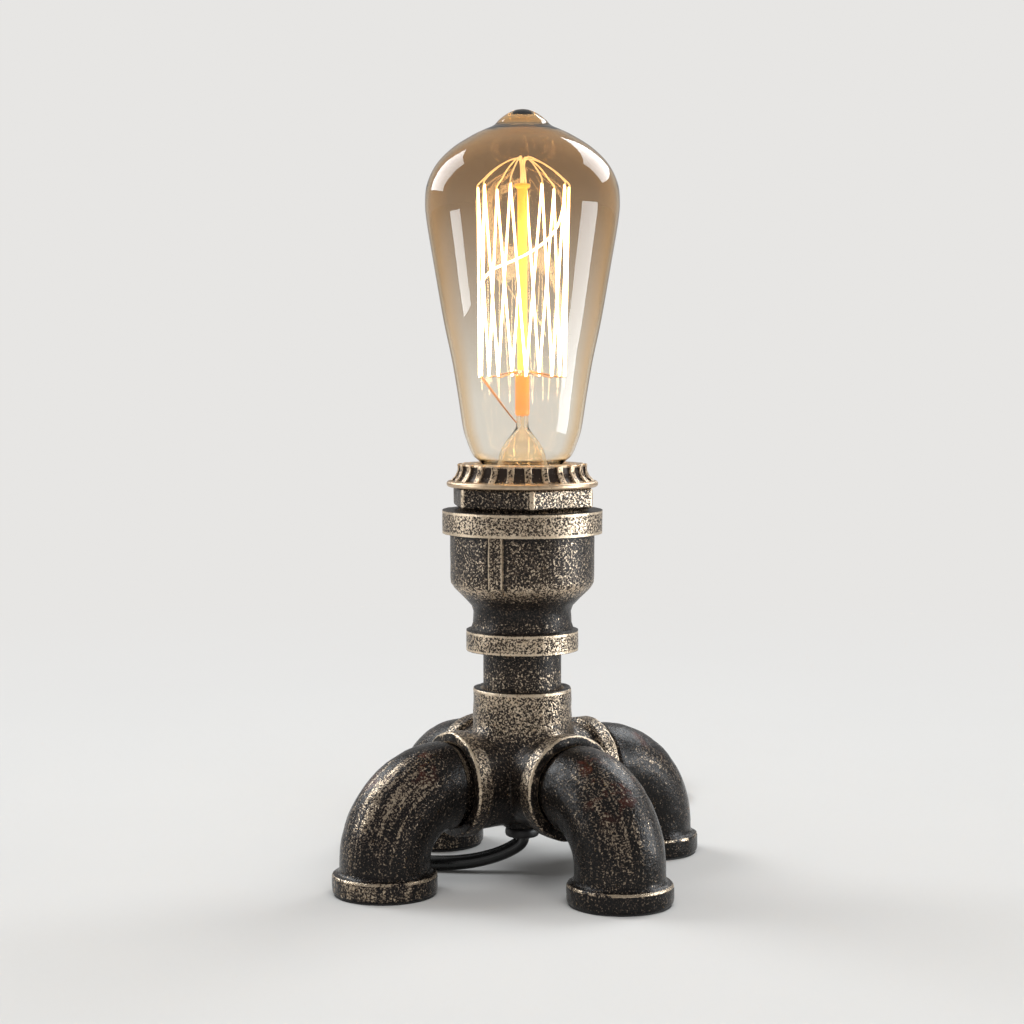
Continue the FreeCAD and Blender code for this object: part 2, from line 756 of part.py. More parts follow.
def filament():
    """One long wire that zigzags between the lower and the upper hooks."""
    points = [cage_point(step, CAGE_TOP_R, CAGE_FOOT_R) for step in range(STRANDS + 1)]
    strands = [rod(STRAND_R, a, b) for a, b in zip(points, points[1:])]
    knots = [Part.makeSphere(STRAND_R, p) for p in points]
    return joined(strands + knots)


def hooks(steps, root_r, root_rise):
    """Spokes from the glass rod to the bends of the filament."""
    spokes = []
    for step in steps:
        short = STRAND_R + HOOK_R
        tip = cage_point(step, CAGE_TOP_R - short, CAGE_FOOT_R - short)
        across = V(tip.x, tip.y, 0).normalize()
        root = across * root_r + V(0, 0, cap_top + root_rise)
        spokes.append(rod(HOOK_R, root, tip))
    return group(spokes)


def lead_wires():
    """The two wires that climb from the pinch to the ends of the filament."""
    wires = []
    for step in (0, STRANDS):
        end = cage_point(step, CAGE_TOP_R, CAGE_FOOT_R) - V(0, 0, STRAND_R + HOOK_R)
        across = V(end.x, end.y, 0).normalize()
        start = across * (PINCH_R + 2 * HOOK_R) + V(0, 0, cap_top + WIRE_START_RISE)
        wires.append(rod(HOOK_R, start, end))
    return group(wires)


# ---- cord inside the lamp ----
def inner_cord():
    return cylinder(CORD_R, grommet_z, sheath_top)


def core(side):
    z_in = disc_z - TERMINAL[2] / 2
    x_in = TERMINAL_X - TERMINAL[0] / 2
    path = [(side * CORE_X, 0, sheath_top), (side * CORE_X, 0, z_in), (side * x_in, 0, z_in)]
    return corded("core", path, CORE_R)


def cord_grommet():
    """Rubber grommet: rounded flange under the boss, neck, and a lip inside the chamber."""
    flange = cylinder(GROMMET_FLANGE_R, grommet_z, boss_z)
    flange = rounded(flange, EDGE_ROUND, lambda r, z: True)
    neck = cylinder(GROMMET_NECK_R, grommet_z, chamber_floor)
    lip = cylinder(GROMMET_INNER_R, chamber_floor, chamber_floor + GROMMET_INNER_H)
    bore = cylinder(CORD_R + CORD_PLAY, grommet_z, chamber_floor + GROMMET_INNER_H)
    return joined([flange, neck, lip]).cut(bore)


def cord_clamp():
    z0 = chamber_floor + GROMMET_INNER_H + CLAMP_GAP
    ring = tube(CLAMP_R, CORD_R + CORD_PLAY / 2, z0, z0 + CLAMP_H)
    slot = box((CLAMP_R, CLAMP_SLOT, CLAMP_H), CLAMP_R / 2 + CORD_R / 2, 0, z0)
    return ring.cut(slot)


# ---- switch on the cord, along its own +X ----
def rounded_block(z0, z1, inset):
    """A long block with rounded corners, inset from the switch's outline."""
    half_l = SWITCH_L / 2 - inset
    half_w = SWITCH_W / 2 - inset
    size = (2 * half_l, 2 * half_w, z1 - z0)
    block = box(size, SWITCH_L / 2, 0, z0)
    upright = [e for e in block.Edges if near(e.Vertexes[0].X, e.Vertexes[1].X)
               and near(e.Vertexes[0].Y, e.Vertexes[1].Y)]
    return block.makeFillet(SWITCH_CORNER - inset, upright)


def softened(shape, z, radius):
    """The shape with all of its outer edges at height z rounded off."""
    edges = [e for e in shape.Edges
             if all(near(v.Z, z) for v in e.Vertexes) and near(e.CenterOfMass.z, z)]
    return shape.makeFillet(radius, edges)


def switch_screw_places():
    middle = SWITCH_L / 2
    return ((middle - SCREW_X, SCREW_Y), (middle + SCREW_X, -SCREW_Y))


def cord_holes():
    start = V(-1, 0, SWITCH_AXIS_Z)
    return rod(CORD_R + CORD_PLAY, start, start + V(SWITCH_L + 2, 0, 0))


def switch_base():
    shell = softened(rounded_block(0, SWITCH_SPLIT, 0), 0, SWITCH_EDGE)
    shell = shell.cut(rounded_block(SWITCH_WALL, SWITCH_SPLIT, SWITCH_WALL))
    for x, y in switch_screw_places():
        shell = shell.fuse(cylinder(SCREW_BOSS_R, SCREW_BOSS_SINK, SWITCH_SPLIT, x, y))
        shell = shell.cut(cylinder(SCREW_R + SCREW_HOLE_PLAY, 0, SWITCH_SPLIT, x, y))
        shell = shell.cut(cylinder(SCREW_HEAD_R + SCREW_HEAD_PLAY, 0, SCREW_HEAD_H, x, y))
    return shell.removeSplitter().cut(cord_holes())


def switch_cover():
    shell = softened(rounded_block(SWITCH_SPLIT, SWITCH_H, 0), SWITCH_H, SWITCH_EDGE)
    shell = shell.cut(rounded_block(SWITCH_SPLIT, SWITCH_H - SWITCH_WALL, SWITCH_WALL))
    middle = SWITCH_L / 2
    cheek_y = ROCKER_W / 2 + CHEEK_GAP + CHEEK_W / 2
    pivot_hole = rod(ROCKER_PIN_R + PIN_PLAY, V(middle, -SWITCH_W, ROCKER_PIVOT_Z),
                     V(middle, SWITCH_W, ROCKER_PIVOT_Z))
    cheek_z = ROCKER_PIVOT_Z - 2 * ROCKER_PIN_R
    for side in (-1, 1):
        size = (CHEEK_L, CHEEK_W, SWITCH_H - SWITCH_WALL - cheek_z)
        cheek = box(size, middle, side * cheek_y, cheek_z)
        shell = shell.fuse(cheek.cut(pivot_hole))
    for x, y in switch_screw_places():
        boss_top = SWITCH_H - SCREW_BOSS_DROP
        shell = shell.fuse(cylinder(SCREW_BOSS_R, SWITCH_SPLIT, boss_top, x, y))
        shell = shell.cut(cylinder(SCREW_R, SWITCH_SPLIT, SCREW_HEAD_H + SCREW_L, x, y))
    window = (ROCKER_L + 2 * ROCKER_PLAY, ROCKER_W + 2 * CHEEK_GAP, 2 * SWITCH_WALL)
    shell = shell.cut(box(window, middle, 0, SWITCH_H - 1.5 * SWITCH_WALL))
    return shell.removeSplitter().cut(cord_holes())


def switch_rocker():
    """The rocker, tipped to its on side, with its two pivot pins."""
    half = ROCKER_L / 2
    outline = [(-half, -ROCKER_UNDER), (-half, ROCKER_TOP), (0, ROCKER_TOP - ROCKER_DIP),
               (half, ROCKER_TOP), (half, -ROCKER_UNDER), (0, -ROCKER_KEEL)]
    face = Part.Face(polygon([(x, -ROCKER_W / 2, z) for x, z in outline]))
    body = face.extrude(V(0, ROCKER_W, 0))
    reach = ROCKER_W / 2 + ROCKER_PIN_L
    pins = rod(ROCKER_PIN_R, V(0, -reach, 0), V(0, reach, 0))
    whole = joined([body, pins])
    whole.rotate(ORIGIN, V(0, 1, 0), ROCKER_TILT)
    whole.translate(V(SWITCH_L / 2, 0, ROCKER_PIVOT_Z))
    return whole


def switch_terminals():
    middle = SWITCH_L / 2
    return group([box(BLOCK, middle + side * BLOCK_X, 0, SWITCH_WALL) for side in (-1, 1)])


def switch_spring():
    return box(SPRING, SWITCH_L / 2, 0, SWITCH_WALL + BLOCK[2])


def switch_screws():
    screws = []
    for x, y in switch_screw_places():
        head = cylinder(SCREW_HEAD_R, SCREW_HEAD_SINK, SCREW_HEAD_H, x, y)
        shank = cylinder(SCREW_R - PIN_PLAY, SCREW_HEAD_SINK, SCREW_L, x, y)
        screws.append(joined([head, shank]))
    return group(screws)


def on_switch(shape):
    return swung(shape, SWITCH_TURN, *SWITCH_AT)


# ---- coil and its tie ----
def coil_section(inset):
    """The outer shape of the wound turns as a ring, inset from its full size."""
    half = COIL_COLUMNS * COIL_PITCH / 2
    inner = COIL_MEAN_R - half + inset
    outer = COIL_MEAN_R + half - inset
    high = COIL_ROWS * COIL_PITCH - inset
    ring = tube(outer, inner, inset, high)
    return rounded(ring, COIL_EDGE, lambda r, z: True)


def coil_tie():
    ring = coil_section(0).cut(coil_section(TIE_T))
    half = COIL_COLUMNS * COIL_PITCH / 2
    size = (2 * half + 2, TIE_W, COIL_ROWS * COIL_PITCH)
    strap = ring.common(box(size, COIL_MEAN_R, 0, 0))
    tab_x = COIL_MEAN_R + half + TIE_TAB[1] / 2 - TIE_T / 2
    tab = box((TIE_TAB[1], TIE_TAB[0], TIE_TAB[2]), tab_x, 0, size[2] / 2 - TIE_TAB[2] / 2)
    return swung(joined([strap, tab]), TIE_ANGLE)


def coil_stub(angle, z, length, sense):
    """The straight end of the outermost turn, leaving the coil at a tangent."""
    turn = math.radians(angle)
    outer = COIL_MEAN_R + (COIL_COLUMNS - 1) * COIL_PITCH / 2
    on_turn = V(outer * math.cos(turn), outer * math.sin(turn), z)
    tangent = V(-math.sin(turn), math.cos(turn), 0) * sense
    return rod(CORD_R, on_turn, on_turn + tangent * length)


def cord_coil():
    low = CORD_R + FLOOR_LIFT
    high = COIL_PITCH * (COIL_ROWS - 1) + low
    parts = [coil_section(0), coil_stub(COIL_IN_ANGLE, low, COIL_IN_STUB, -1),
             coil_stub(COIL_OUT_ANGLE, high, COIL_OUT_STUB, 1)]
    return joined(parts).cut(coil_tie())


def at_coil(shape):
    return swung(shape, 0, *COIL_AT)


# ---- plug, along its own +X from the boot's tip to the pins ----
def plug_boot():
    points = [(0, 0), (BOOT_TIP_R, 0)]
    step = BOOT_L / (BOOT_RIBS + 1)
    for k in range(1, BOOT_RIBS + 1):
        x = k * step
        r = BOOT_TIP_R + (BOOT_R - BOOT_TIP_R) * x / BOOT_L
        points += [(r, x - BOOT_GROOVE_W / 2), (r - BOOT_GROOVE, x - BOOT_GROOVE_W / 2),
                   (r - BOOT_GROOVE, x + BOOT_GROOVE_W / 2), (r, x + BOOT_GROOVE_W / 2)]
    points += [(BOOT_R, BOOT_L), (0, BOOT_L)]
    boot = turned(points)
    boot.rotate(ORIGIN, V(0, 1, 0), 90)
    return boot


def plug_section(x, wide, thick):
    half = wide / 2
    flat = half / 2
    corners = [(x, -half, 0), (x, -flat, -thick / 2), (x, flat, -thick / 2),
               (x, half, 0), (x, flat, thick / 2), (x, -flat, thick / 2)]
    return polygon(corners)


def pin_rods(radius, x0, x1):
    return [rod(radius, V(x0, side * PLUG_PIN_PITCH / 2, 0), V(x1, side * PLUG_PIN_PITCH / 2, 0))
            for side in (-1, 1)]


def plug_body():
    face_x = BOOT_L + PLUG_L
    straight_x = face_x - PLUG_STRAIGHT
    front = Part.makeLoft([plug_section(straight_x, PLUG_WIDE, PLUG_THICK),
                           plug_section(face_x, PLUG_WIDE, PLUG_THICK)], True, True)
    rear = Part.makeLoft([plug_section(BOOT_L, PLUG_REAR_WIDE, PLUG_REAR_THICK),
                          plug_section(straight_x, PLUG_WIDE, PLUG_THICK)], True, True)
    body = joined([rear, front])
    return body.cut(pin_rods(PLUG_PIN_CORE_R, face_x - PLUG_PIN_ROOT, face_x))


def plug_pins():
    face_x = BOOT_L + PLUG_L
    tip_x = face_x + PLUG_PIN_L
    cores = pin_rods(PLUG_PIN_CORE_R, face_x - PLUG_PIN_ROOT, tip_x - 1)
    tips = pin_rods(PLUG_PIN_R, face_x + PIN_SLEEVE_L, tip_x)
    pins = []
    for inner, tip in zip(cores, tips):
        end = [e for e in tip.Edges if near(e.CenterOfMass.x, tip_x)]
        pins.append(joined([inner, tip.makeFillet(EDGE_ROUND, end)]))
    return group(pins)


def pin_sleeves():
    face_x = BOOT_L + PLUG_L
    outer = pin_rods(PLUG_PIN_R - PIN_PLAY, face_x, face_x + PIN_SLEEVE_L)
    inner = pin_rods(PLUG_PIN_CORE_R, face_x, face_x + PIN_SLEEVE_L)
    return group([a.cut(b) for a, b in zip(outer, inner)])


def at_plug(shape):
    placed = swung(shape, PLUG_TURN, *PLUG_AT)
    placed.translate(V(0, 0, PLUG_AXIS_Z))
    return placed


# ---- the whole lamp ----
def build():
    parts = {
        "side_outlet_cross": side_outlet_cross(),
        "stem_nipple": stem_nipple(),
        "reducing_socket": reducing_socket(),
        "hex_bushing": hex_bushing(),
        "holder_body": holder_body(),
        "holder_insert": holder_insert(),
        "screw_shell": screw_shell(),
        "centre_contact": centre_contact(),
        "terminal_blocks": terminal_blocks(),
        "terminal_screws": terminal_screws(),
        "shade_ring": shade_ring(),
        "bulb_glass": bulb_glass(),
        "bulb_cap": bulb_cap(),
        "cap_cement": cap_cement(),
        "cap_insulator": cap_insulator(),
        "cap_contact": cap_contact(),
        "glass_stem": glass_stem(),
        "stem_rod": stem_rod(),
        "filament": filament(),
        "upper_hooks": hooks(range(1, STRANDS, 2), ROD_BUTTON_R, ROD_TOP_RISE - UPPER_ROOT_DROP),
        "lower_hooks": hooks(range(2, STRANDS, 2), STEM_BUTTON_R, STEM_TOP_RISE - LOWER_ROOT_DROP),
        "lead_wires": lead_wires(),
        "inner_cord": inner_cord(),
        "live_core": core(1),
        "neutral_core": core(-1),
        "cord_grommet": cord_grommet(),
        "cord_clamp": cord_clamp(),
        "cord_lead": corded("cord_lead", LEAD_ROUTE, CORD_R),
        "switch_base": on_switch(switch_base()),
        "switch_cover": on_switch(switch_cover()),
        "switch_rocker": on_switch(switch_rocker()),
        "switch_terminals": on_switch(switch_terminals()),
        "switch_spring": on_switch(switch_spring()),
        "switch_screws": on_switch(switch_screws()),
        "cord_link": corded("cord_link", LINK_ROUTE, CORD_R),
        "cord_coil": at_coil(cord_coil()),
        "coil_tie": at_coil(coil_tie()),
        "cord_tail": corded("cord_tail", TAIL_ROUTE, CORD_R),
        "plug_boot": at_plug(plug_boot()),
        "plug_body": at_plug(plug_body()),
        "plug_pins": at_plug(plug_pins()),
        "pin_sleeves": at_plug(pin_sleeves()),
    }
    leg = elbow()
    pad = foot_pad()
    for name, angle in LEG_ANGLES.items():
        parts["elbow_" + name] = swung(leg, angle)
        parts["foot_pad_" + name] = swung(pad, angle)
    return parts


os.makedirs("parts", exist_ok=True)
for node, shape in build().items():
    if not shape.isValid():
        print("invalid", node)
    shape.exportStep("parts/" + node + ".step")
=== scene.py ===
import math
import random

import bpy
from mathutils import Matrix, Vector


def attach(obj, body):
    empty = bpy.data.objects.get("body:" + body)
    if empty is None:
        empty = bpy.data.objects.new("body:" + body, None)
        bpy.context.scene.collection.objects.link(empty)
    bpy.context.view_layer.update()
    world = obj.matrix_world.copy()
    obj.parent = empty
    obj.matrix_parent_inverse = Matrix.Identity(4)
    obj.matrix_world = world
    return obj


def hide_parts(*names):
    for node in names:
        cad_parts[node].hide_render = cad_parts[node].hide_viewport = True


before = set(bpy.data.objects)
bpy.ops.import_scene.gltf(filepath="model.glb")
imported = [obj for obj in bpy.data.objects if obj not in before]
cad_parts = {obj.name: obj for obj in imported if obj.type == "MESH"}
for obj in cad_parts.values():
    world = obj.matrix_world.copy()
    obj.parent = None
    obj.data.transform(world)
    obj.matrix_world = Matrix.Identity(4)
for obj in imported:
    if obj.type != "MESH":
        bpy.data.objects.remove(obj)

# An industrial pipe table lamp, dressed round its construction solids.
# Sizes are in millimetres and are turned into metres by MM.
MM = 0.001
random.seed(7)
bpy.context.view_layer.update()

# ---- levels and radii that the pieces share ----
PIPE_R = 13.0
ELBOW_R = 14.65
BEND_R = 22.0
BEND_X = 31.9
BEND_Z = 10.5
FOOT_X = BEND_X + BEND_R
OUTLET_Z = BEND_Z + BEND_R
FOOT_LIFT = 0.6
FOOT_BEAD_R = 17.05
FOOT_BEAD_TOP = 7.1
HEX_Z = 122.7
HEX_TOP = 129.4
CAP_TOP = 136.1
CORD_R = 2.5
SOCKET_RIB_ANGLES = (-100.8, 79.2)
LEGS = {"front_left": 225, "front_right": 315, "rear_left": 135, "rear_right": 45}


# ---- modelling tools ----
def deselect():
    bpy.ops.object.select_all(action="DESELECT")


def pick(obj):
    """Makes obj the only selected object and the active one."""
    deselect()
    obj.select_set(True)
    bpy.context.view_layer.objects.active = obj


def editing(obj, action="SELECT"):
    """Edit mode with all of the piece selected, with none of it, or with what was marked (None)."""
    pick(obj)
    bpy.ops.object.mode_set(mode="EDIT")
    if action:
        bpy.ops.mesh.select_all(action=action)


def done_editing():
    bpy.ops.object.mode_set(mode="OBJECT")


def settle(obj):
    """Puts the object's place, turn and size into its mesh."""
    pick(obj)
    bpy.ops.object.transform_apply(location=True, rotation=True, scale=True)
    return obj


def carried(obj, spot, degrees):
    """Turns a piece about Z and puts it at its spot in mm."""
    obj.location = Vector(spot) * MM
    obj.rotation_euler.z = math.radians(degrees)
    return settle(obj)


def tidy(obj):
    """Merges doubles and turns every face outwards."""
    editing(obj)
    bpy.ops.mesh.remove_doubles(threshold=0.01 * MM)
    bpy.ops.mesh.normals_make_consistent(inside=False)
    done_editing()
    return obj


def modified(obj, kind, **settings):
    """Adds a modifier with these settings and applies it."""
    pick(obj)
    modifier = obj.modifiers.new(kind.title(), kind)
    for key, value in settings.items():
        setattr(modifier, key, value)
    bpy.ops.object.modifier_apply(modifier=modifier.name)
    return obj


def smooth(obj, angle=35):
    pick(obj)
    bpy.ops.object.shade_smooth_by_angle(angle=math.radians(angle))
    return obj


def joined(*objs):
    deselect()
    for obj in objs:
        obj.select_set(True)
    bpy.context.view_layer.objects.active = objs[0]
    bpy.ops.object.join()
    return objs[0]


def metres(spot):
    return [part * MM for part in spot]


def added(name, primitive, centre=(0, 0, 0), **settings):
    """A new primitive about its centre in mm, with its place and turn put into its mesh."""
    deselect()
    primitive(location=metres(centre), **settings)
    obj = settle(bpy.context.object)
    obj.name = name
    return obj


def block(name, size, centre, turn=0.0):
    """A box about its centre, turned there about Z by turn radians."""
    obj = added(name, bpy.ops.mesh.primitive_cube_add, size=1)
    obj.scale = metres(size)
    obj.location = metres(centre)
    obj.rotation_euler.z = turn
    return settle(obj)


def drum(name, radius, depth, centre, sides=32):
    return added(name, bpy.ops.mesh.primitive_cylinder_add, centre, vertices=sides,
                 radius=radius * MM, depth=depth * MM)


def select_open_edges():
    bpy.ops.mesh.select_all(action="DESELECT")
    bpy.ops.mesh.select_non_manifold(extend=False)


def draw_out(corners, line=(0, 0, 1), through=(0, 0, 0)):
    """Carries the selected ring of points along a line, from corner to corner (radius, reach)."""
    for (radius, reach), (next_radius, next_reach) in zip(corners, corners[1:]):
        step = [part * (next_reach - reach) * MM for part in line]
        bpy.ops.mesh.extrude_edges_move(TRANSFORM_OT_translate={"value": step})
        grow = next_radius / radius
        centre = metres(spot + part * next_reach for spot, part in zip(through, line))
        bpy.ops.transform.resize(value=[1 if part else grow for part in line], center_override=centre)


def turned(name, corners, sides=96, ends="fill"):
    """A round piece about Z, drawn out from corner to corner (radius, height).

    ends is "fill" for flat ends, "tip" for an open foot and an upper end that closes in a point,
    and "loop" for a section that closes on itself."""
    radius, height = corners[0]
    obj = added(name, bpy.ops.mesh.primitive_circle_add, (0, 0, height), vertices=sides,
                radius=radius * MM)
    editing(obj)
    if ends == "fill":
        bpy.ops.mesh.edge_face_add()
        select_open_edges()
    draw_out(corners)
    if ends == "fill":
        bpy.ops.mesh.edge_face_add()
    elif ends == "tip":
        bpy.ops.mesh.merge(type="CENTER")
    else:
        select_open_edges()
        bpy.ops.mesh.bridge_edge_loops()
    done_editing()
    return tidy(obj)


def eased(points, steps):
    """A smooth line through the points (Catmull-Rom), with this many steps between two."""
    line = []
    for i in range(len(points) - 1):
        before = points[max(i - 1, 0)]
        here = points[i]
        there = points[i + 1]
        after = points[min(i + 2, len(points) - 1)]
        for k in range(steps):
            t = k / steps
            spot = []
            for p0, p1, p2, p3 in zip(before, here, there, after):
                slope = (p2 - p0) * t
                curve = (2 * p0 - 5 * p1 + 4 * p2 - p3) * t ** 2
                cube = (3 * p1 - p0 - 3 * p2 + p3) * t ** 3
                spot.append(0.5 * (2 * p1 + slope + curve + cube))
            line.append(tuple(spot))
    line.append(tuple(points[-1]))
    return line


def rounded_box(name, size, centre, edge, segments=3):
    return modified(block(name, size, centre), "BEVEL", width=edge * MM, segments=segments,
                    limit_method="NONE")


def subdivided(obj, cuts):
    editing(obj)
    bpy.ops.mesh.subdivide(number_cuts=cuts)
    done_editing()
    return obj


def drilled(obj, tool):
    """Takes the tool's space out of a piece and throws the tool away."""
    modified(obj, "BOOLEAN", operation="DIFFERENCE", object=tool, solver="EXACT")
    bpy.data.objects.remove(tool)
    return obj


def rounded_edges(obj, radius, segments, test):
    """Rounds the edges whose two ends, in mm, pass the test."""
    editing(obj, "DESELECT")
    bpy.ops.mesh.select_mode(type="EDGE")
    done_editing()
    for edge in obj.data.edges:
        edge.select = test(*(obj.data.vertices[i].co / MM for i in edge.vertices))
    editing(obj, None)
    bpy.ops.mesh.bevel(offset=radius * MM, segments=segments, affect="EDGES")
    bpy.ops.mesh.select_mode(type="VERT")
    done_editing()
    return obj


def curve_through(name, lines, radius, roundness, steps):
    """A round wire or cord along each line of points."""
    curve = bpy.data.curves.new(name, "CURVE")
    curve.dimensions = "3D"
    curve.bevel_depth = radius * MM
    curve.bevel_resolution = roundness
    curve.resolution_u = steps
    curve.use_fill_caps = True
    for line in lines:
        spline = curve.splines.new("NURBS")
        spline.points.add(len(line) - 1)
        for point, spot in zip(spline.points, line):
            point.co = (*(Vector(spot) * MM), 1)
        spline.order_u = 3
        spline.use_endpoint_u = True
    obj = bpy.data.objects.new(name, curve)
    bpy.context.scene.collection.objects.link(obj)
    return obj


def roughened(obj, strength, size):
    """Pushes the surface in and out a little, as a sand casting's is."""
    lumps = bpy.data.textures.new("casting_lumps", "CLOUDS")
    lumps.noise_scale = size * MM
    lumps.noise_depth = 2
    return modified(obj, "DISPLACE", texture=lumps, strength=2 * strength * MM, mid_level=0.5)


def solid_copy(node, name):
    """A merged copy of a construction solid, free to be reshaped."""
    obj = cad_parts[node].copy()
    obj.data = obj.data.copy()
    bpy.context.scene.collection.objects.link(obj)
    for key in list(obj.keys()):
        del obj[key]
    obj.parent = None
    obj.name = name
    obj.data.materials.clear()
    editing(obj)
    bpy.ops.mesh.remove_doubles(threshold=0.001 * MM)
    done_editing()
    return obj


def place(obj, body, slot, material, *nodes):
    """Gives a finished piece its material, its body and the solids that it stands for."""
    obj.data.materials.clear()
    obj.data.materials.append(material)
    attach(obj, body)
    if nodes:
        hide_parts(*nodes)
    return obj


# ---- material tools ----
class Paint:
    """A material's node tree, with short calls for the nodes that the finishes use."""

    def __init__(self, name):
        self.material = bpy.data.materials.new(name)
        self.material.use_nodes = True
        self.nodes = self.material.node_tree.nodes
        self.links = self.material.node_tree.links
        self.nodes.clear()
        self.out = self.nodes.new("ShaderNodeOutputMaterial")
        self.shader = self.nodes.new("ShaderNodeBsdfPrincipled")
        self.links.new(self.shader.outputs[0], self.out.inputs[0])
        self.place = self.nodes.new("ShaderNodeTexCoord").outputs["Object"]

    def fill(self, socket, value):
        """Links a socket, or sets it to a number or a colour."""
        if isinstance(value, bpy.types.NodeSocket):
            self.links.new(value, socket)
        else:
            socket.default_value = (*value, 1) if isinstance(value, tuple) else value

    def set(self, **values):
        for key, value in values.items():
            self.fill(self.shader.inputs[key.replace("_", " ")], value)

    def mixed(self, share, other):
        """Lets another shader take the main one's place, as far as share says."""
        either = self.nodes.new("ShaderNodeMixShader")
        self.links.new(share, either.inputs[0])
        self.links.new(self.shader.outputs[0], either.inputs[1])
        self.links.new(other.outputs[0], either.inputs[2])
        self.links.new(either.outputs[0], self.out.inputs[0])

    def stretched(self, size, place=None, turn=0.0):
        """The place scaled by size, turned about Z by turn degrees."""
        mapping = self.nodes.new("ShaderNodeMapping")
        mapping.inputs["Scale"].default_value = size
        mapping.inputs["Rotation"].default_value = (0, 0, math.radians(turn))
        self.links.new(place or self.place, mapping.inputs["Vector"])
        return mapping.outputs[0]

    def parts(self, place=None):
        """A place's X, Y and Z, each on its own."""
        split = self.nodes.new("ShaderNodeSeparateXYZ")
        self.links.new(place or self.place, split.inputs[0])
        return split.outputs[0], split.outputs[1], split.outputs[2]

    def kept(self, name):
        """A value that the piece's own points keep."""
        attribute = self.nodes.new("ShaderNodeAttribute")
        attribute.attribute_name = name
        return attribute.outputs["Vector"]

    def noise(self, size_mm, detail=3.0, roughness=0.6, place=None, distortion=0.0):
        texture = self.nodes.new("ShaderNodeTexNoise")
        texture.inputs["Scale"].default_value = 1000 / size_mm
        texture.inputs["Detail"].default_value = detail
        texture.inputs["Roughness"].default_value = roughness
        texture.inputs["Distortion"].default_value = distortion
        self.links.new(place or self.place, texture.inputs["Vector"])
        return texture.outputs["Fac"]

    def ramp(self, value, *stops):
        ramp = self.nodes.new("ShaderNodeValToRGB")
        elements = ramp.color_ramp.elements
        while len(elements) < len(stops):
            elements.new(0.5)
        for element, (position, colour) in zip(elements, stops):
            element.position = position
            shade = colour if isinstance(colour, tuple) else (colour, colour, colour)
            element.color = (*shade, 1)
        self.links.new(value, ramp.inputs[0])
        return ramp.outputs[0]

    def calc(self, operation, value, *others):
        """Maths on a value with each of the others in turn."""
        for other in others or (0.0,):
            node = self.nodes.new("ShaderNodeMath")
            node.operation = operation
            self.fill(node.inputs[0], value)
            self.fill(node.inputs[1], other)
            value = node.outputs[0]
        return value

    def times(self, *values):
        return self.calc("MULTIPLY", *values)

    def most(self, *values):
        return self.calc("MAXIMUM", *values)

    def blend(self, share, a, b):
        node = self.nodes.new("ShaderNodeMix")
        node.data_type = "RGBA"
        for place, value in ((0, share), (6, a), (7, b)):
            self.fill(node.inputs[place], value)
        return node.outputs[2]

    def bump(self, height, depth_mm, strength=1.0, below=None):
        node = self.nodes.new("ShaderNodeBump")
        node.inputs["Strength"].default_value = strength
        node.inputs["Distance"].default_value = depth_mm * MM
        self.links.new(height, node.inputs["Height"])
        if below is not None:
            self.links.new(below, node.inputs["Normal"])
        return node.outputs[0]

    def worn_edges(self, low, high):
        """Brighter on outer edges, by the mesh's own sharpness."""
        sharpness = self.nodes.new("ShaderNodeNewGeometry").outputs["Pointiness"]
        return self.ramp(sharpness, (low, 0.0), (high, 1.0))

    def height(self):
        return self.parts()[2]

    def reach(self):
        """Distance from the upright axis."""
        flat = self.nodes.new("ShaderNodeVectorMath")
        flat.operation = "LENGTH"
        self.links.new(self.stretched((1, 1, 0)), flat.inputs[0])
        return flat.outputs["Value"]

    def along_legs(self):
        """Distance from the upright axis, measured along the nearer pair of legs."""
        x, y, _ = self.parts()
        one = self.calc("ABSOLUTE", self.calc("ADD", x, y))
        other = self.calc("ABSOLUTE", self.calc("SUBTRACT", x, y))
        return self.times(self.most(one, other), math.sqrt(0.5))

    def banded(self, value, *stops):
        """A share that changes evenly between its stops (place in mm, share)."""
        low = stops[0][0]
        span = stops[-1][0] - low
        place = self.times(self.calc("SUBTRACT", value, low * MM), 1 / (span * MM))
        return self.ramp(place, *[((spot - low) / span, share) for spot, share in stops])


BLACK_IRON = (0.0065, 0.0055, 0.005)
BROWN_IRON = (0.075, 0.054, 0.040)
GOLD_RUB = (0.50, 0.37, 0.24)
PALE_RUB = (0.78, 0.66, 0.51)
RUST = (0.11, 0.022, 0.009)
# The grain's size, how far full brushing raises it, and the height from which it is gold.
GRAIN_MM = 0.62
BRUSH_REACH = 0.31
GOLD_FROM = 0.665


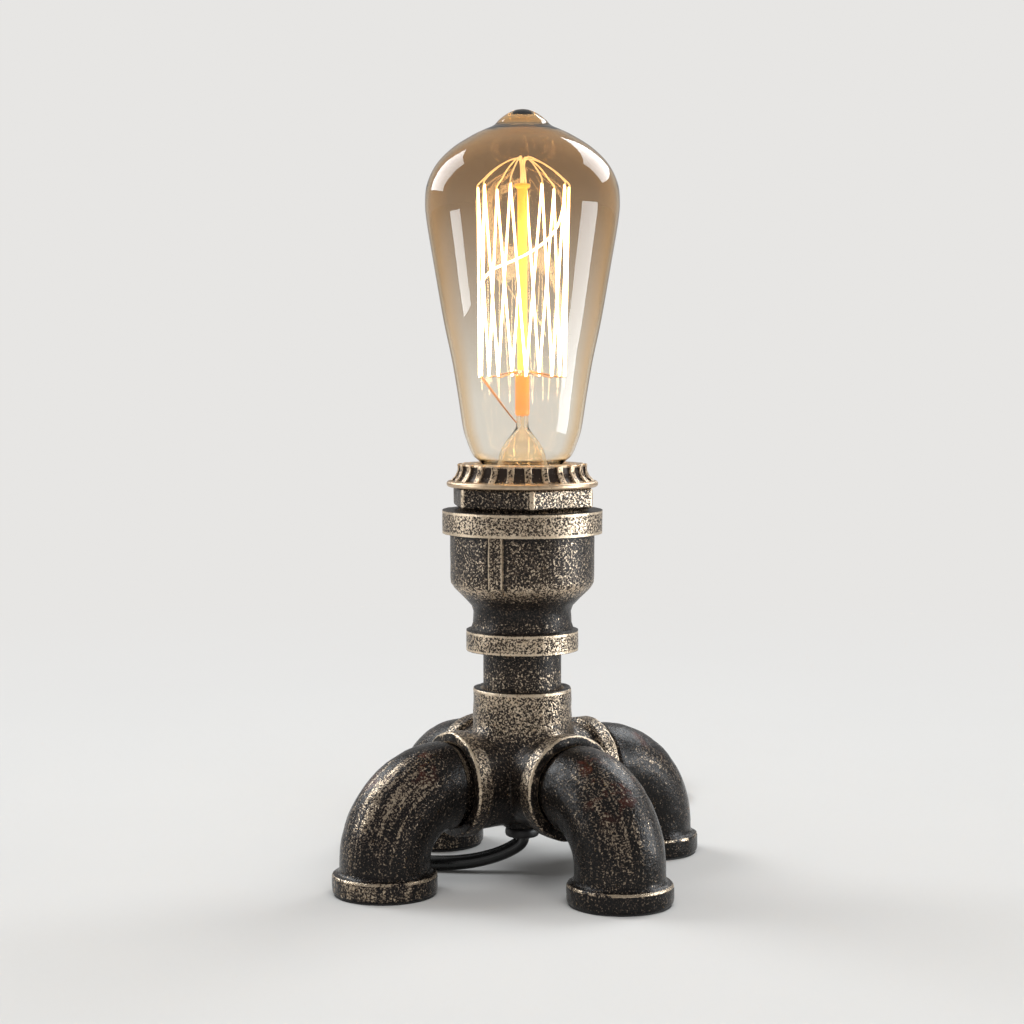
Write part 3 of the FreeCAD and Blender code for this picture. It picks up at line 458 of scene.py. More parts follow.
def gold_brushed(paint, share, gloss=0.34, stain=None, brown_from=0.50, tone=1.0, soft=0.095):
    """Black lacquered casting with a sandy grain, its high spots dry-brushed with pale gold.

    share is how much of the grain the gold takes, stain how much rust shows through, brown_from
    the grain height at which the black starts to turn brown, tone how bright the gold is and
    soft how gently each fleck fades out."""
    grain = paint.noise(GRAIN_MM, 2.0, 0.55, distortion=0.5)
    uneven = paint.calc("ADD", paint.noise(8.0, 3.0, 0.6), 0.5)
    brushed = paint.calc("ADD", grain, paint.times(share, uneven, BRUSH_REACH))
    dull, pale = (tuple(tone * part for part in rub) for rub in (GOLD_RUB, PALE_RUB))
    gold = paint.blend(paint.noise(1.6, 2.0), dull, pale)
    base = paint.blend(stain, BLACK_IRON, RUST) if stain else BLACK_IRON
    colour = paint.blend(paint.ramp(brushed, (brown_from, 0.0), (0.67, 1.0)), base, BROWN_IRON)
    bright = paint.ramp(brushed, (GOLD_FROM, 0.0), (GOLD_FROM + soft, 1.0))
    fine = paint.bump(grain, 0.22, 0.75)
    paint.set(Base_Color=paint.blend(bright, colour, gold),
              Metallic=paint.ramp(bright, (0.0, 0.1), (1.0, 0.85)), Specular_IOR_Level=0.22,
              Roughness=paint.ramp(paint.noise(4.0, 3.0), (0.3, gloss * 0.8), (0.7, gloss * 1.3)),
              Normal=paint.bump(paint.noise(3.4, 2.0, 0.5), 0.30, 0.5, fine))
    return paint.material


def cross_iron():
    """Brushed collar with a bright top edge, brushed outlet beads, dark saddle between them."""
    paint = Paint("gold_brushed_cross")
    z = paint.height()
    along = paint.along_legs()
    collar = paint.banded(z, (10, 0.0), (30, 0.02), (38, 0.10), (45, 0.20), (50, 0.50), (61.1, 0.60),
                          (61.4, 1.2), (62.1, 1.2), (62.3, 0.0))
    inside = paint.banded(along, (28.5, 1.0), (28.65, 0.0), (40, 0.0))
    bead = paint.banded(along, (22.4, 0.0), (22.8, 0.5), (27.7, 0.54), (28.0, 1.2), (28.5, 1.2),
                        (28.65, 0.0), (40, 0.0))
    raised = paint.banded(z, (14, 0.15), (27, 0.55), (36, 1.0))
    share = paint.most(paint.times(collar, inside), paint.times(bead, raised))
    return gold_brushed(paint, share, 0.30, None, 0.54, 0.92)


def socket_iron():
    """Brushed beads with bright rims, a dark neck, a gilded shoulder and two edged ribs; painted shade
    darkens a strip under the shoulder and along each side of the ribs.
    """
    paint = Paint("gold_brushed_socket")
    z = paint.height()
    # The rims and the shoulder are dry-brushed gold; the dark strip just under the shoulder's overhang (113.2
    # to 113.95 mm) is painted shade.
    rings = paint.banded(
        z, (75, 0.0), (75.1, 1.2), (75.65, 1.2), (75.9, 0.6), (80.7, 0.6), (80.95, 1.2), (81.45, 1.2),
        (81.6, 0.0), (83.5, 0.2), (86, 0.1), (88, 0.0), (92, 0.05), (93.8, 0.4), (96.2, 0.72),
        (98.6, 0.4), (101, 0.31), (112.6, 0.31), (113.2, 0.1), (113.95, 0.0), (114.1, 1.25),
        (114.65, 1.25), (114.9, 0.62), (120.7, 0.62), (120.95, 1.25), (121.5, 1.25), (121.65, 0.0),
        (122, 0.0))
    across = paint.parts(paint.stretched((1, 1, 1), turn=-SOCKET_RIB_ANGLES[0]))[1]
    across = paint.calc("ABSOLUTE", across)
    body = paint.banded(z, (95.5, 0.0), (97.5, 1.0), (113.9, 1.0), (114.0, 0.0))
    rib = paint.banded(across, (0, 0.46), (1.8, 0.46), (2.05, 1.1), (2.35, 1.1), (2.6, 0.0), (3.0, 0.0))
    # Painted shadow: the gold thins in a strip along each side of the ribs, as if they cast shade there.
    shadow_beside_rib = paint.banded(across, (2.5, 1.0), (2.6, 0.25), (3.1, 0.25), (3.8, 1.0))
    shadow_beside_rib = paint.most(shadow_beside_rib, paint.calc("SUBTRACT", 1.0, body))
    share = paint.times(rings, shadow_beside_rib)
    return gold_brushed(paint, paint.most(share, paint.times(rib, body)))


def hexagon_iron():
    """Brushed flats, more gold on those towards +X as painted light that draws that side lighter, with bright
    corners.
    """
    paint = Paint("gold_brushed_hexagon")
    # The gold grows towards +X: painted light, the hexagon's right-hand flats drawn lighter as if lit.
    flats = paint.banded(paint.parts()[0], (-26, 0.26), (0, 0.30), (8, 0.46), (26, 0.52))
    corners = paint.banded(paint.reach(), (21, 0.0), (24.4, 0.0), (24.7, 1.0), (26, 1.0))
    return gold_brushed(paint, paint.most(flats, corners))


def pipe_iron():
    paint = Paint("dark_pipe")
    return gold_brushed(paint, paint.banded(paint.height(), (50, 0.1), (62, 0.3), (67, 0.36), (70, 0.18),
                                            (75, 0.08), (86.5, 0.05)), gloss=0.4)


def elbow_iron():
    """Glossy black elbow with gold dragged along its outer bend and a line on the foot bead; the gold thins
    towards +X as painted light, so the left-hand legs look lit.
    """
    paint = Paint("streaked_elbow")
    run = paint.kept("run")
    out, _, along = paint.parts(run)
    streak = paint.noise(1.7, 3.0, 0.6, paint.stretched((1.0, 1.0, 0.12), run), 0.2)
    broad = paint.noise(13.0, 2.0, 0.5, paint.stretched((1.0, 1.0, 0.4), run))
    side, _, z = paint.parts()
    dragged = paint.times(
        paint.ramp(streak, (0.40, 0.12), (0.60, 1.0)), paint.ramp(broad, (0.40, 0.12), (0.56, 0.80)),
        paint.banded(out, (6, 0.0), (20, 0.25), (28, 0.9), (37, 1.0)),
        paint.banded(along, (-2, 0.0), (2, 0.1), (9, 0.8), (15, 1.0), (26, 0.95), (34, 0.45),
                     (40, 0.15), (44, 0.05)),
        # Less gold towards +X is painted light: the legs on the -X side drawn lighter as if lit from there.
        paint.banded(side, (-58, 1.0), (-20, 0.9), (15, 0.72), (58, 0.72)))
    edge = paint.times(paint.banded(z, (5.9, 0.0), (6.15, 1.3), (6.75, 1.3), (7.0, 0.0)),
                       paint.ramp(paint.noise(11.0, 2.0), (0.42, 0.15), (0.52, 1.0)))
    upright = paint.noise(1.8, 2.0, 0.6, paint.stretched((1.0, 1.0, 0.12)))
    flecks = paint.times(paint.ramp(upright, (0.42, 0.1), (0.60, 1.0)),
                         # The foot-bead flecks thin towards +X too, as painted light.
                         paint.banded(side, (-58, 0.9), (-32, 0.7), (-10, 0.25), (60, 0.08)),
                         paint.banded(z, (0.8, 0.0), (1.3, 0.8), (5.8, 0.8), (6.1, 0.0)))
    lip = paint.times(paint.banded(along, (-3.0, 0.0), (-2.3, 1.1), (-1.2, 1.1), (-0.6, 0.0)),
                      paint.ramp(paint.noise(6.0, 2.0), (0.43, 0.1), (0.53, 1.0)),
                      paint.banded(out, (18, 0.0), (30, 1.0)))
    stain = paint.times(paint.ramp(paint.noise(9.0, 3.0, 0.65), (0.54, 0.0), (0.63, 0.5)),
                        paint.banded(out, (28, 0.0), (34, 1.0)),
                        paint.banded(along, (3, 0.0), (7, 1.0), (17, 1.0), (24, 0.0)))
    share = paint.most(dragged, lip, edge, flecks)
    return gold_brushed(paint, share, 0.23, stain, 0.58, 0.74, 0.13)


def plain(name, colour, roughness, metallic=0.0, grain_mm=0.6, grain=0.02, tone=0.12, coat=0.0):
    """A moulded, drawn or plated finish with a fine grain and a slight change of tone."""
    paint = Paint(name)
    shade = tuple(c * (1 + tone) + tone * 0.004 for c in colour)
    dark = tuple(c * (1 - tone) for c in colour)
    paint.set(Base_Color=paint.blend(paint.noise(6.0, 3.0), dark, shade),
              Metallic=metallic, Coat_Weight=coat, Coat_Roughness=0.08,
              Roughness=paint.ramp(paint.noise(grain_mm * 4, 3.0), (0.3, roughness * 0.8),
                                   (0.7, min(1.0, roughness * 1.25))),
              Normal=paint.bump(paint.noise(grain_mm, 3.0, 0.6), grain, 0.6))
    return paint.material


def glass(name, clear, deep, rim=None, facing=0.35, tints_and_painted_shade=()):
    """Clear glass that is more deeply tinted where it is seen edge on, and lets light pass.

    rim is a tint that comes in before the deep one, and the last argument holds further tints for the
    face, each with the two heights between which it comes in, painted shade among them."""
    paint = Paint(name)
    edge = paint.nodes.new("ShaderNodeLayerWeight")
    edge.inputs["Blend"].default_value = facing
    body = clear
    for shade, low, high in tints_and_painted_shade:
        body = paint.blend(paint.banded(paint.height(), (low, 0.0), (high, 1.0)), body, shade)
    edge_on = edge.outputs["Facing"]
    deepens = ((0.1, 0.0), (0.9, 1.0))
    if rim:
        body = paint.blend(paint.ramp(edge_on, (0.36, 0.0), (0.66, 1.0)), body, rim)
        deepens = ((0.72, 0.0), (0.96, 1.0))
    tint = paint.blend(paint.ramp(edge_on, *deepens), body, deep)
    paint.set(Base_Color=tint, Roughness=0.0, IOR=1.45, Transmission_Weight=1.0)
    shadow = paint.nodes.new("ShaderNodeBsdfTransparent")
    shadow.inputs[0].default_value = (*[0.5 + 0.5 * c for c in clear], 1)
    path = paint.nodes.new("ShaderNodeLightPath")
    paint.mixed(path.outputs["Is Shadow Ray"], shadow)
    return paint.material


def glowing(name, colour, strength, flicker_mm=4.0):
    paint = Paint(name)
    heat = paint.ramp(paint.noise(flicker_mm, 2.0), (0.3, tuple(c * 0.75 for c in colour)), (0.6, colour))
    paint.set(Base_Color=colour, Emission_Color=heat, Emission_Strength=strength, Roughness=0.5)
    return paint.material


def porcelain():
    paint = Paint("white_porcelain")
    paint.set(Base_Color=paint.blend(paint.noise(7.0), (0.78, 0.76, 0.70), (0.88, 0.86, 0.81)),
              Roughness=paint.ramp(paint.noise(2.0), (0.3, 0.12), (0.7, 0.25)),
              Normal=paint.bump(paint.noise(5.0), 0.05, 0.5))
    return paint.material


RIB_COUNT = 24


def old_bronze():
    """The ring's finish: pale bronze on flange, top and ribs, dark brown between the ribs."""
    paint = Paint("old_bronze")
    x, y, z = paint.parts()
    wave = paint.calc("COSINE", paint.times(paint.calc("ARCTAN2", y, x), RIB_COUNT))
    rib = paint.calc("ADD", paint.ramp(wave, (0.10, 0.0), (0.34, 0.62)),
                     paint.times(paint.worn_edges(0.50, 0.54), 0.35))
    smooth_part = paint.banded(z, (129.3, 1.1), (131.3, 1.1), (131.9, 0.15), (136.0, 0.1),
                               (136.5, 1.0), (137.2, 1.0))
    speck = paint.noise(0.9, 3.0, 0.7)
    worn = paint.calc("ADD", speck, paint.times(paint.most(rib, smooth_part), 0.36))
    cover = paint.ramp(worn, (0.66, 0.0), (0.76, 1.0))
    bronze = paint.blend(paint.noise(2.0), (0.38, 0.25, 0.15), (0.72, 0.57, 0.40))
    paint.set(Base_Color=paint.blend(cover, (0.030, 0.019, 0.013), bronze),
              Metallic=paint.ramp(cover, (0.0, 0.3), (1.0, 0.9)), Specular_IOR_Level=0.3,
              Roughness=paint.ramp(speck, (0.3, 0.28), (0.7, 0.45)),
              Normal=paint.bump(speck, 0.12, 0.6))
    return paint.material


FINISH = {
    "cross": cross_iron(),
    "socket": socket_iron(),
    "hexagon": hexagon_iron(),
    "elbow": elbow_iron(),
    "pipe": pipe_iron(),
    "bronze": old_bronze(),
    "moulded": plain("matt_black_moulding", (0.016, 0.016, 0.017), 0.5, grain=0.04),
    "gloss": plain("polished_black_moulding", (0.012, 0.012, 0.013), 0.2, grain=0.01, coat=0.5),
    "rubber": plain("black_rubber", (0.014, 0.013, 0.013), 0.42, grain=0.05),
    "cord": plain("black_sheath", (0.010, 0.010, 0.010), 0.24, grain_mm=1.5, grain=0.03, coat=0.35),
    "brass": plain("pressed_brass", (0.70, 0.50, 0.20), 0.28, 1.0),
    "nickel": plain("nickel_plate", (0.55, 0.53, 0.50), 0.25, 1.0),
    "porcelain": porcelain(),
    "black_glass": plain("vitrified_black", (0.012, 0.010, 0.014), 0.12, coat=0.4),
    "brown": plain("brown_insulation", (0.16, 0.06, 0.025), 0.4),
    "blue": plain("blue_insulation", (0.02, 0.08, 0.34), 0.4),
    # The bulb's face tints darker brown towards the top of the dome; the thin band at the nub is painted
    # shade, standing in for the nub's dark outline.
    "bulb": glass("amber_bulb_glass", (0.93, 0.90, 0.84), (0.28, 0.12, 0.04), (0.84, 0.58, 0.29), 0.5,
                  (((0.52, 0.40, 0.28), 158, 232), ((0.50, 0.27, 0.10), 246.5, 249.5))),
    "stem": glass("clear_stem_glass", (1.0, 0.92, 0.78), (0.85, 0.55, 0.25)),
    # The rod, the orange tube and the upper hook wires glow by emission: painted light, the filament's glow
    # drawn on parts that give none of their own.
    "rod": glowing("lit_yellow_rod", (1.0, 0.57, 0.12), 1.0),
    "lower_rod": glowing("lit_orange_tube", (0.95, 0.36, 0.08), 0.6),
    "filament": glowing("white_hot_filament", (1.0, 0.72, 0.38), 18.0),
    "copper": plain("warm_copper_wire", (0.72, 0.36, 0.16), 0.3, 1.0),
    "hooks": glowing("lit_hook_wire", (1.0, 0.72, 0.40), 1.8),
}


# ---- iron fittings ----
CAST_VOXEL = 0.54
CAST_LUMP = 0.22


def make_cross():
    """The cross as it comes from the foundry: its solid with every corner softened."""
    cross = solid_copy("side_outlet_cross", "cast_cross")
    modified(cross, "REMESH", mode="VOXEL", voxel_size=CAST_VOXEL * MM, adaptivity=0.0)
    modified(cross, "SMOOTH", factor=0.5, iterations=1)
    roughened(cross, CAST_LUMP, 5.0)
    smooth(cross, 60)
    place(cross, "lamp", "cast_fitting", FINISH["cross"], "side_outlet_cross")


SOCKET_OUTLINE = (
    (13.05, 86.8), (13.05, 76.2), (14.25, 75.0), (18.65, 75.0), (18.65, 78.3), (18.65, 81.7),
    (17.1, 82.2), (16.4, 84.2), (16.25, 88.0), (16.9, 89.9), (19.4, 92.6), (22.5, 95.6),
    (23.75, 97.5), (23.95, 99.4), (23.95, 104.0), (23.95, 109.0), (23.95, 114.0), (26.55, 114.0),
    (26.55, 117.8), (26.55, 121.7), (22.2, 121.7), (21.0, 120.5), (21.0, 109.0), (21.0, 97.0),
    (10.5, 97.0), (10.5, 86.8),
)


def make_socket():
    """The reducer with its two casting ribs, every rim eased by a small bevel."""
    socket = turned("reducing_socket_casting", SOCKET_OUTLINE, sides=128, ends="loop")
    parts = [socket]
    for angle in SOCKET_RIB_ANGLES:
        rib = rounded_box("casting_rib", (4.0, 4.7, 22.0), (22.9, 0, 104.5), 0.01, 1)
        # The rib's outer side sinks away towards its lower end, as the socket's shoulder does.
        for vertex in subdivided(rib, 5).data.vertices:
            share = min(1.0, max(0.0, (vertex.co.z / MM - 93.5) / 5.0))
            if vertex.co.x > 22 * MM:
                vertex.co.x -= (1 - share) ** 2 * 3.4 * MM
        parts.append(carried(rib, (0, 0, 0), angle))
    whole = joined(*parts)
    modified(whole, "BEVEL", width=0.55 * MM, segments=3, limit_method="ANGLE",
             angle_limit=math.radians(38))
    modified(whole, "SUBSURF", levels=1, render_levels=1, subdivision_type="SIMPLE")
    roughened(whole, 0.16, 5.0)
    smooth(whole, 45)
    place(whole, "lamp", "cast_fitting", FINISH["socket"], "reducing_socket")


def keep_run(obj, shift):
    """Keeps at each point its place on the bend: out from the bend's centre, across, and along."""
    spots = [0.0] * (3 * len(obj.data.vertices))
    obj.data.vertices.foreach_get("co", spots)
    runs = []
    for x, y, z in zip(spots[0::3], spots[1::3], spots[2::3]):
        x -= BEND_X * MM
        z -= BEND_Z * MM
        if x < 0:
            runs += (z, y + shift, x)
        elif z < 0:
            runs += (x, y + shift, BEND_R * MM * math.pi / 2 - z)
        else:
            runs += (math.hypot(x, z), y + shift, BEND_R * MM * math.atan2(x, z))
    obj.data.attributes.new("run", "FLOAT_VECTOR", "POINT").data.foreach_set("vector", runs)


# How far, in metres, the streaks are shifted from one leg to the next.
STREAK_SHIFT = 0.07


def make_elbow(leg, angle):
    """One leg along +X, then turned to its place: rings drawn out from the outlet to the foot."""
    along = [(12.95, 17.4), (12.95, 24.0), (12.95, 28.9), (13.15, 29.6), (14.1, 30.6),
             (14.55, 31.4), (ELBOW_R, BEND_X)]
    foot = [
        (ELBOW_R, 9.0), (14.75, 8.1), (15.2, 7.45), (15.9, FOOT_BEAD_TOP), (16.5, 6.98), (16.9, 6.6),
        (FOOT_BEAD_R, 6.0), (FOOT_BEAD_R, 4.0), (FOOT_BEAD_R, 1.6), (16.85, 0.95), (16.4, FOOT_LIFT),
        (15.0, FOOT_LIFT), (13.1, FOOT_LIFT), (13.05, 3.0), (13.05, 6.0),
    ]
    radius, reach = along[0]
    obj = added("elbow_leg_" + leg, bpy.ops.mesh.primitive_circle_add, (reach, 0, OUTLET_Z),
                vertices=48, radius=radius * MM, rotation=(0, math.pi / 2, 0))
    editing(obj)
    bpy.ops.mesh.edge_face_add()
    select_open_edges()
    draw_out(along, line=(1, 0, 0), through=(0, 0, OUTLET_Z))
    bpy.ops.mesh.spin(steps=18, angle=-math.pi / 2, center=metres((BEND_X, 0, BEND_Z)),
                      axis=(0, 1, 0))
    draw_out([(ELBOW_R, BEND_Z), *foot], through=(FOOT_X, 0, 0))
    bpy.ops.mesh.edge_face_add()
    done_editing()
    tidy(obj)
    modified(obj, "SUBSURF", levels=2, render_levels=2)
    keep_run(obj, STREAK_SHIFT * angle / 90)
    carried(obj, (0, 0, 0), angle)
    roughened(obj, CAST_LUMP, 6.0)
    smooth(obj, 60)
    place(obj, "lamp", "cast_elbow", FINISH["elbow"], "elbow_" + leg)


def make_nipple():
    corners = [(10.4, 51.0), (12.6, 51.0), (PIPE_R, 51.6), (PIPE_R, 62.0), (PIPE_R, 68.7),
               (PIPE_R, 75.5), (PIPE_R, 85.9), (12.6, 86.5), (10.4, 86.5)]
    nipple = turned("stem_pipe", corners, ends="loop")
    modified(nipple, "SUBSURF", levels=1, render_levels=1, subdivision_type="SIMPLE")
    smooth(nipple, 35)
    place(nipple, "lamp", "pipe_steel", FINISH["pipe"], "stem_nipple")


def make_hexagon():
    """The bushing's hexagon with softened corners on its threaded skirt."""
    corner_r = 43.5 / math.sqrt(3)
    head = drum("hexagon_bushing", corner_r, HEX_TOP - HEX_Z, (0, 0, (HEX_Z + HEX_TOP) / 2), 6)
    carried(head, (0, 0, 0), 47.5 - 90)
    modified(head, "BEVEL", width=0.7 * MM, segments=3, limit_method="ANGLE")
    skirt = turned("bushing_skirt", [(20.9, 109.3), (20.9, 112.0), (20.9, 122.0), (20.9, 123.5)])
    whole = joined(head, skirt)
    modified(whole, "REMESH", mode="VOXEL", voxel_size=0.5 * MM)
    bore = turned("bushing_bore", [(19.1, 108.0), (19.1, 131.0)])
    drilled(whole, bore)
    modified(whole, "SMOOTH", factor=0.5, iterations=1)
    roughened(whole, 0.14, 4.0)
    smooth(whole, 40)
    place(whole, "lamp", "cast_fitting", FINISH["hexagon"], "hex_bushing")


def make_shade_ring():
    """The ribbed ring nut: a flanged round core with one rib copied round it."""
    core = turned("ribbed_ring", [
        (19.0, 129.4), (22.0, 129.4), (24.6, 129.4), (25.1, 129.9), (25.1, 130.8), (24.6, 131.3),
        (23.2, 131.45), (22.2, 131.9), (21.3, 132.9), (20.75, 134.2), (20.45, 135.6),
        (20.3, 136.6), (20.0, 137.0), (19.0, 137.1), (15.6, 137.1), (15.0, 136.7), (15.0, 135.6),
        (19.0, 135.6), (19.0, 132.0),
    ], sides=144, ends="loop")
    parts = [core]
    for k in range(RIB_COUNT):
        rib = block("ring_rib", (2.0, 2.3, 5.8), (21.0, 0, 134.1))
        for vertex in rib.data.vertices:
            low = vertex.co.z < 134 * MM
            outer = vertex.co.x > 21 * MM
            if outer:
                vertex.co.x = (24.0 if low else 21.6) * MM
            if not low:
                vertex.co.z = 136.95 * MM
        for vertex in subdivided(rib, 2).data.vertices:
            share = (vertex.co.z / MM - 131.2) / 5.75
            if vertex.co.x > 21.5 * MM and 0.1 < share < 0.9:
                hollow = 1.1 * math.sin(math.pi * share) ** 0.8
                vertex.co.x -= hollow * MM
        modified(rib, "BEVEL", width=0.3 * MM, segments=2, limit_method="ANGLE")
        rib.rotation_euler.z = 2 * math.pi * k / RIB_COUNT
        settle(rib)
        parts.append(rib)
    ring = joined(*parts)
    modified(ring, "REMESH", mode="VOXEL", voxel_size=0.26 * MM)
    modified(ring, "SMOOTH", factor=0.5, iterations=2)
    smooth(ring, 50)
    place(ring, "ring", "aged_bronze", FINISH["bronze"], "shade_ring")


# ---- bulb ----
GLASS_DOME = (
    (12.7, 0.2), (14.6, 2.0), (16.6, 3.9), (18.5, 8.6), (19.7, 13.0), (21.2, 22.9),
    (23.2, 34.8), (26.1, 48.6), (29.4, 67.6), (31.6, 81.0), (32.0, 87.6),
    (31.2, 93.2), (28.2, 99.2), (23.0, 104.4), (16.7, 108.4), (12.8, 110.3), (10.4, 111.3),
)
GLASS_TIP = ((9.0, 112.2), (7.6, 113.7), (5.2, 115.5), (2.7, 116.7), (0.8, 117.1))
GLASS_CROWN = ((30.3, 92.8), (27.4, 98.7), (22.4, 103.7), (16.2, 107.6), (12.3, 109.5), (9.0, 110.6),
               (5.0, 111.4), (0.8, 111.7))
GLASS_NECK_R = 12.2
GLASS_NECK_FOOT = 124.1
GLASS_WALL = 0.9


def make_bulb_glass():
    """An outer skin with its nub and a plain inner one, bridged at the foot, so the nub is solid."""
    neck = [(GLASS_NECK_R, GLASS_NECK_FOOT), (GLASS_NECK_R, 127.5), (GLASS_NECK_R, 131.0),
            (GLASS_NECK_R, 134.2)]
    dome = [(radius, CAP_TOP + rise) for radius, rise in GLASS_DOME + GLASS_TIP]
    outer = turned("bulb_envelope", neck + eased(dome, 6), sides=128, ends="tip")
    hollow = [(radius - GLASS_WALL, height) for radius, height in neck]
    hollow += [(radius - GLASS_WALL, CAP_TOP + rise) for radius, rise in GLASS_DOME[:-6]]
    hollow += [(radius, CAP_TOP + rise) for radius, rise in GLASS_CROWN]
    inner = turned("bulb_hollow", hollow[:4] + eased(hollow[4:], 6), sides=128, ends="tip")
    editing(inner)
    bpy.ops.mesh.flip_normals()
    done_editing()
    bulb = joined(outer, inner)
    editing(bulb)
    select_open_edges()
    bpy.ops.mesh.bridge_edge_loops()
    done_editing()
    smooth(bulb, 60)
    place(bulb, "bulb", "amber_glass", FINISH["bulb"], "bulb_glass")


def make_glass_stem():
    foot = CAP_TOP - 10.0
    corners = [
        (10.9, foot), (10.3, 129.5), (9.5, 133.0), (7.9, 139.4), (7.0, 142.0), (5.3, 144.7), (3.4, 147.0),
        (2.1, 149.0), (1.95, 151.5), (1.95, 154.1), (2.4, 154.9), (2.4, 160.0), (2.4, 166.4),
        (3.2, 167.0), (3.4, 167.5), (3.2, 167.9), (1.0, 167.9), (0.5, 160.0), (0.5, 149.2),
        (1.6, 147.4), (3.9, 144.3), (5.8, 141.6), (6.8, 139.0), (8.4, 133.0), (9.2, 129.5), (9.9, foot),
    ]
    stem = turned("glass_mount", corners, sides=64, ends="loop")
    smooth(stem, 50)
    place(stem, "bulb", "clear_glass", FINISH["stem"], "glass_stem")
    sleeve = turned("orange_tube", [(2.1, 153.0), (2.35, 153.6), (2.35, 165.6), (1.9, 166.2)], sides=32)
    smooth(sleeve, 50)
    place(sleeve, "bulb", "clear_glass", FINISH["lower_rod"])


def make_rod():
    top = CAP_TOP + 93.4
    rod = turned("glass_rod", [
        (1.5, 168.0), (1.65, 168.4), (1.6, 200.0), (1.65, 227.4), (2.3, 227.9), (2.6, 228.6),
        (2.4, 229.2), (1.2, top),
    ], sides=32)
    smooth(rod, 50)
    place(rod, "bulb", "clear_glass", FINISH["rod"], "stem_rod")


STRANDS = 18
CAGE_START = 190.0
CAGE_TOP = (15.6, 228.1)
CAGE_FOOT = (14.2, 166.1)


def cage_point(step):
    angle = math.radians(CAGE_START - 360 * step / (STRANDS + 1))
    radius, height = CAGE_TOP if step % 2 else CAGE_FOOT
    return Vector((radius * math.cos(angle), radius * math.sin(angle), height))


def wire(name, lines, radius):
    """Thin drawn wires, each along its own line of points, made one mesh."""
    pick(curve_through(name, lines, radius, 3, 4))
    bpy.ops.object.convert(target="MESH")
    return smooth(bpy.context.object, 60)


def make_filament():
    """One wire that climbs and falls between the hooks, each strand a little bowed."""
    line = []
    for step in range(STRANDS):
        start = cage_point(step)
        end = cage_point(step + 1)
        side = (end - start).normalized().cross(Vector((0, 0, 1)))
        bow = random.uniform(-0.5, 0.5)
        turn_back = Vector((0, 0, 0.5 if step % 2 else -0.5))
        line.append(start + turn_back)
        for share in (0.02, 0.25, 0.5, 0.75, 0.98):
            line.append(start.lerp(end, share) + side * bow * math.sin(math.pi * share))
    line.append(cage_point(STRANDS))
    # One slack length has slipped off its hook and hangs across the front of the rod.
    slack = [(14.9, -4.6, 226.5), (14.6, -6.6, 219.0), (11.8, -9.2, 211.5), (5.0, -11.6, 206.0),
             (-2.5, -12.6, 202.6), (-9.6, -10.4, 200.2), (-13.4, -6.6, 195.0)]
    filament = wire("zigzag_filament", [line, slack], 0.38)
    place(filament, "bulb", "glowing_carbon", FINISH["filament"], "filament")


def spoke(step, *corners):
    """A wire in the upright plane of one bend of the filament, by (radius, height) corners."""
    bend = cage_point(step)
    across = Vector((bend.x, bend.y, 0)).normalized()
    return [across * radius + Vector((0, 0, height)) for radius, height in corners]


def make_hooks():
    """Upper wires that arch over from the rod's top, and lower ones that stand straight out."""
    top_r, top = CAGE_TOP
    upper = wire("upper_hook_wires", [
        spoke(s, (0.45, 228.9), (0.45, 235.2), (1.4, 238.6 - 0.6 * (s % 3)), (6.5, 236.0), (11.8, 232.7),
              (top_r - 0.1, 229.9), (top_r + 0.45, top + 0.3), (top_r, top - 0.6))
        for s in range(1, STRANDS, 2)], 0.25)
    place(upper, "bulb", "nickel", FINISH["hooks"], "upper_hooks")
    foot_r, foot = CAGE_FOOT
    lower = wire("lower_hook_wires", [
        spoke(s, (3.2, 167.4), (8.0, 166.6), (foot_r - 0.5, foot - 0.7), (foot_r + 0.4, foot - 0.3),
              (foot_r, foot + 0.6))
        for s in range(2, STRANDS, 2)], 0.2)
    place(lower, "bulb", "nickel", FINISH["copper"], "lower_hooks")
    lines = []
    for step in (0, STRANDS):
        end = cage_point(step)
        across = Vector((end.x, end.y, 0)).normalized()
        start = across * 2.1 + Vector((0, 0, 150.6))
        lines.append([start, start.lerp(end, 0.3) + Vector((0, 0, -0.5)), start.lerp(end, 0.7), end])
    leads = wire("lead_wires_pair", lines, 0.2)
    place(leads, "bulb", "nickel", FINISH["copper"], "lead_wires")


THREAD_LEAD = 3.628
THREAD_TURNS = 5


def make_screw_cap():
    """The rolled thread of the cap: one turn's wave carried round and up, with plain ends."""
    base = 115.6
    count = 10
    spots = []
    for k in range(count + 1):
        share = k / count
        radius = 12.62 + 0.55 * math.cos(2 * math.pi * share)
        spots.append(Vector((radius, 0, base + THREAD_LEAD * share)) * MM)
    obj = added("screw_cap", bpy.ops.mesh.primitive_plane_add, spots[0] / MM, size=0.1 * MM)
    editing(obj)
    bpy.ops.mesh.merge(type="CENTER")
    for start, end in zip(spots, spots[1:]):
        bpy.ops.mesh.extrude_vertices_move(TRANSFORM_OT_translate={"value": end - start})
    done_editing()
    modified(obj, "SCREW", axis="Z", angle=2 * math.pi, screw_offset=THREAD_LEAD * MM, steps=64,
             render_steps=64, iterations=THREAD_TURNS - 1, use_merge_vertices=True,
             merge_threshold=0.01 * MM)
    collar = turned("cap_collar", [(12.9, 133.6), (13.1, 134.4), (13.2, 135.7), (13.1, 136.1),
                                   (12.8, 136.1)], ends="loop")
    skirt = turned("cap_skirt", [(12.2, 113.8), (12.9, 114.4), (13.15, 116.4), (12.5, 117.0)],
                   ends="loop")
    whole = joined(obj, collar, skirt)
    modified(whole, "SOLIDIFY", thickness=0.3 * MM, offset=-1)
    smooth(whole, 40)
    place(whole, "bulb", "nickel", FINISH["nickel"], "bulb_cap")


